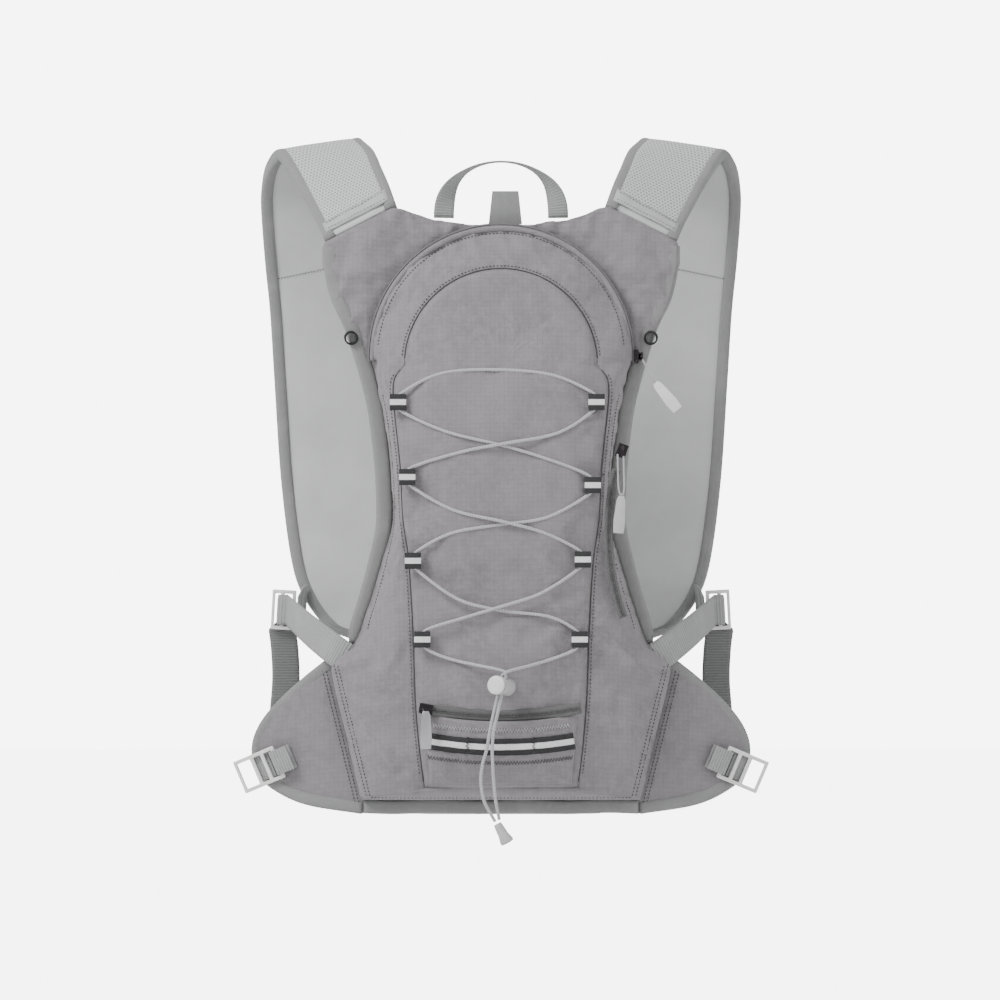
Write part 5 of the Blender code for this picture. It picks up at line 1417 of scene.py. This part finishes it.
def make_pull_cords():
    """The fine doubled cords between the sliders and their moulded pulls."""
    main_eye, main_top, main_low, side_eye = in_mm((MAIN_EYE, MAIN_GRIP_TOP, MAIN_GRIP_LOW, SIDE_EYE))
    main_way = (main_low - main_top).normalized()
    loops = (("main", main_eye + main_way * 3.2 * MM, main_top - main_way * 2.2 * MM, Vector((0, 1, 0)),
              light_plastic, "light_plastic"),
             ("side", side_eye + Vector((-1.2, -0.6, -3.4)) * MM, side_eye + Vector((-0.5, -1.5, -33.8)) * MM,
              Vector((0.9457, 0, -0.325)), grey_plastic, "grey_plastic"))
    for word, start, stop, spread_way, plastic, slot in loops:
        pull = rigid_piece(word + "_pull_tab", plastic, word + "_pull", 0.5 * MM)
        path = curve_through(cord_loop(start, stop, spread_way), 4)
        cord = keep(word + "_pull_loop", rope(path, PULL_CORD_DIAMETER / 2, 10), fine_elastic,
                    word + "_pull", (word + "_pull_cord",))
        path_length(path)


# ---- the front pocket --------------------------------------------------------------------------------
ZIP_RADIUS = 330 * MM
ZIP_LOW_Z = -455 * MM
ZIP_HALF = 61 * MM
POCKET_BULGE = 5 * MM
ZIP_Y = panel_y(0, ZIP_LOW_Z) - 1.5 * MM
ZIP_CENTRE = (0, ZIP_LOW_Z + ZIP_RADIUS)
BAND_RADIUS = ZIP_RADIUS + 25 * MM
BAND_HALF = 6.5 * MM


def zip_z(x, offset):
    return ZIP_CENTRE[1] - math.sqrt((ZIP_RADIUS + offset)**2 - x * x)


def make_pocket():
    """The low pocket under its zip: a slack pouch that sags a little off the panel."""
    columns, rows = 64, 40
    rings = []
    for i in range(rows + 1):
        down = i / rows
        row = []
        for j in range(columns + 1):
            share = 2 * j / columns - 1
            half = ZIP_HALF + (panel_half(PANEL_LOW_Z) - 4 * MM - ZIP_HALF) * down
            x = half * share
            top = zip_z(x, 4.4 * MM)
            z = top + (PANEL_LOW_Z + 3 * MM - top) * down
            inside = (1 - share**6) * math.sin(math.pi * min(1, 0.12 + down)) ** 0.5
            puff = POCKET_BULGE * max(0, inside)
            relief = (folds(x * 1.4, z * 1.2 + 0.05) * 0.8 + crinkle(Vector((x, 0, z)), 9 * MM, 8) * 0.3 * MM)
            row.append(Vector((x, panel_y(x, z) - 1.9 * MM - puff - relief * max(0, inside), z)))
        rings.append(row)
    piece = keep("pocket_cloth", loft(rings, closed=False), ripstop, "pack", ("front_pocket",))
    settle(piece, lambda p: 1.0 if abs(p.x) > ZIP_HALF - 5 * MM or p.z < PANEL_LOW_Z + 6 * MM
           or p.z > zip_z(p.x, 7 * MM) else 0.0, 0.0, 0.025, 2 * MM)
    add_wall(piece, 0.9 * MM)
    return piece


def make_band(skin):
    """The reflective band that crosses the pocket, with its bar tacks and zigzag stitches."""
    rings = []
    for k in range(81):
        angle = -math.pi / 2 - 0.165 + 0.33 * k / 80
        row = []
        for j in range(9):
            radius = BAND_RADIUS + BAND_HALF * (j / 4 - 1)
            x, z = radius * math.cos(angle), ZIP_CENTRE[1] + radius * math.sin(angle)
            hit, _ = skin.under(x, z)
            y = hit.y if hit is not None else panel_y(x, z) - 6 * MM
            row.append(Vector((x, y - 0.7 * MM, z)))
        rings.append(row)
    bm = loft(rings, closed=False)
    map_flat(bm, lambda p: ((math.hypot(p.x, p.z - ZIP_CENTRE[1]) - BAND_RADIUS) / (2 * BAND_HALF), p.x))
    piece = keep("reflective_tape_band", bm, reflective, "pack", ("reflective_band",))
    add_wall(piece, 0.7 * MM, 1)
    for offset, word in ((-13 * MM, "upper"), (13 * MM, "lower")):
        line = []
        for k in range(96):
            angle = -math.pi / 2 - 0.16 + 0.32 * k / 95
            radius = BAND_RADIUS + offset + (1.4 * MM if k % 2 else -1.4 * MM)
            hit, _ = skin.under(radius * math.cos(angle), ZIP_CENTRE[1] + radius * math.sin(angle))
            if hit is not None:
                line.append(hit + OUT * 0.45 * MM)
        keep("pocket_zigzag_" + word, rope(line, 0.4 * MM, 6),
             white_thread if word == "upper" else seam_thread, "pack")
    for x in (-27 * MM, 26 * MM):
        bm = bmesh.new()
        for k in range(9):
            z = zip_z(x, 0) - (25 * MM - BAND_HALF) - k * 1.5 * MM
            hit, _ = skin.under(x, z)
            if hit is not None:
                slant = Matrix.Rotation(math.radians(20 if k % 2 else -20), 4, "Y")
                bar = Matrix.Diagonal((1.7 * MM, 0.4 * MM, 0.4 * MM, 1))
                place = Matrix.Translation(hit + OUT * 1.7 * MM) @ slant @ bar
                bmesh.ops.create_icosphere(bm, subdivisions=1, radius=1.0, matrix=place)
        keep("band_tack_" + ("left" if x < 0 else "right"), bm, dark_thread, "pack")


# ---- seams -------------------------------------------------------------------------------------------
SEAM_LIFT = 0.5 * MM


def sewn_row(skin, name, flat_path, finish, pitch=3.0 * MM, body="pack"):
    """One row of stitches laid on the skin along (x, z) points."""
    path = skin.lay(flat_path, SEAM_LIFT)
    if len(path) > 3:
        stitches(name, path, finish, pitch, pitch * 0.66, 0.95 * MM, body)


def seam_line(skin, name, flat_path, finish, radius=0.55 * MM, body="pack"):
    """The dark line where two cloths are sewn together."""
    path = skin.lay(flat_path, 0.05 * MM)
    if len(path) > 3:
        keep(name, rope(path, radius, 6), finish, body)


def down_side(curve, shift, top, low, side):
    return [(side * (width_at(curve, z * MM) + shift), z * MM) for z in range(top, low, -6)]


def arch_row(radius, height):
    return [(p.x, p.z) for p in arc_path((0, height), 0, radius, 4, 176, 90)]


def beside_fin_seam(side, gap, drop):
    """A line beside the fin's seam, this far outwards from it; it starts drop below the seam's top."""
    (top_x, top_z), (low_x, low_z) = FIN_SEAM
    return [(side * (top_x + gap) * MM, (top_z - drop) * MM),
            (side * (low_x + gap) * MM, (low_z + 6) * MM)]


def make_seams(skin):
    sewn_row(skin, "arch_stitches_outer", arch_row(ARCH_RADIUS - 5.8 * MM, ARCH_Z), seam_thread)
    sewn_row(skin, "arch_stitches_inner", arch_row(INNER_ARCH_RADIUS + 2.8 * MM, INNER_ARCH_Z), seam_thread)
    seam_line(skin, "arch_seam", arch_row(INNER_ARCH_RADIUS + 0.6 * MM, INNER_ARCH_Z), seam_thread)
    for word, side in (("left", -1), ("right", 1)):
        sewn_row(skin, "side_stitches_" + word, down_side(SIDE_SEAM, 3 * MM, -180, -508, side), seam_thread)
        seam_line(skin, "side_seam_" + word, down_side(SIDE_SEAM, 0.6 * MM, -178, -510, side), seam_thread)
        sewn_row(skin, "edge_stitches_" + word, down_side(BODY_EDGE, -13.5 * MM, -196, -392, side),
                 seam_thread)
        for gap, row in ((-3.5, "inner"), (-6.5, "second")):
            sewn_row(skin, f"fin_seam_{row}_{word}", beside_fin_seam(side, gap, 4), seam_thread)
        lining_seam = [(side * 143 * MM, -93.6 * MM), (side * 186 * MM, -102.5 * MM)]
        sewn_row(skin, "lining_seam_" + word, lining_seam, dark_thread, 2.4 * MM)
        fin_skin = Skin([fins[word]])
        for gap, row in ((4.0, "fin"), (7.0, "fin_second")):
            sewn_row(fin_skin, f"{row}_stitches_{word}", beside_fin_seam(side, gap, 5), seam_thread,
                     body="fin_" + word)
    bottom = [(x * MM, -521.6 * MM) for x in range(-106, 107, 4)]
    sewn_row(skin, "bottom_stitches", bottom, seam_thread)


# ---- making it all -----------------------------------------------------------------------------------
make_lacing()

bag = make_bag()
front = make_front()
pocket = make_pocket()
shoulders = [make_yoke("left", -1), make_yoke("right", 1)]
fins = {}
straps = []
make_back_pad()
make_bottom_edge()
make_pull_cords()
soft_copy("bladder_sleeve", lining)
cad_web("bladder_hanger", webbing, "pack", Vector((1, 0, 0)), UP)
cad_web("tube_port_tab", binding, "pack", Vector((1, 0, 0)), UP)
for word, side in (("left", -1), ("right", 1)):
    straps.append(make_strap(word, side))
    make_strap_binding(word, side)
    make_strap_mesh(word, side)
    make_armhole_binding(word, side)
    make_adjuster(word, side)
    fins[word], fin_path = make_fin(word, side)
    make_fin_edge(word, side, fin_path)
    outward = Vector((side * math.cos(HIP_LOCK_TILT), 0.33, -math.sin(HIP_LOCK_TILT)))
    bar_way = Vector((side * math.sin(HIP_LOCK_TILT), 0, math.cos(HIP_LOCK_TILT)))
    cad_web("hip_web_" + word, light_webbing, "fin_" + word, outward, bar_way)
    cad_web("belt_web_" + word, webbing, "belt_lock_" + word, outward, bar_way)
    cad_web("lock_tab_" + word, light_webbing, "pack", Vector((side, 0.5, 0)), UP)
    rigid_piece("strap_lock_" + word, light_plastic, "shoulder_lock_" + word, 0.7 * MM, 3)
    rigid_piece("hip_lock_" + word, light_plastic, "belt_lock_" + word, 0.8 * MM, 3)
    rigid_piece("tube_loop_" + word, black_tape, "pack", 0.4 * MM)
make_haul_loop()
make_cord_tabs()
make_piping()

skin = Skin([bag, front, pocket, *shoulders, *straps])
make_band(skin)
make_seams(skin)

rigid_piece("cord_lock_barrel", grey_plastic, "cord_lock", 0.5 * MM)
rigid_piece("cord_lock_button", light_plastic, "lock_button", 0.6 * MM, 3)
for word in ("main", "side", "front"):
    rigid_piece(word + "_zip_slider", dark_metal, word + "_slider", 0.4 * MM)
rigid_piece("front_zip_pull", spring_steel, "front_pull", 0.4 * MM)

front_zip_path = arc_path(ZIP_CENTRE, ZIP_Y, ZIP_RADIUS, -90 - 11.2, -90 + 11.2, 60)
make_zip("front_zip", "front_zip", front_zip_path, lambda p: OUT)
side_zip_y = BASE_Y - 0.9 * BAG_DEPTH
make_zip("side_zip", "side_zip", arc_path((286 * MM, -308 * MM), side_zip_y, 200 * MM, 165.5, 200, 60),
         lambda p: OUT, tape_width=7 * MM)
make_zip("main_zip", "main_zip", [Vector((p.x, -90 * MM, p.z)) for p in arc_path(
    (0, ARCH_Z), 0, ARCH_RADIUS + 1.4 * MM, -3, 183, 150)],
    lambda p: Vector((p.x, 0, p.z - ARCH_Z)).normalized(), 6 * MM, edge_tape, edge_coil)

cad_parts["cord_lock_spring"].data.materials.clear()
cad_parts["cord_lock_spring"].data.materials.append(spring_steel)
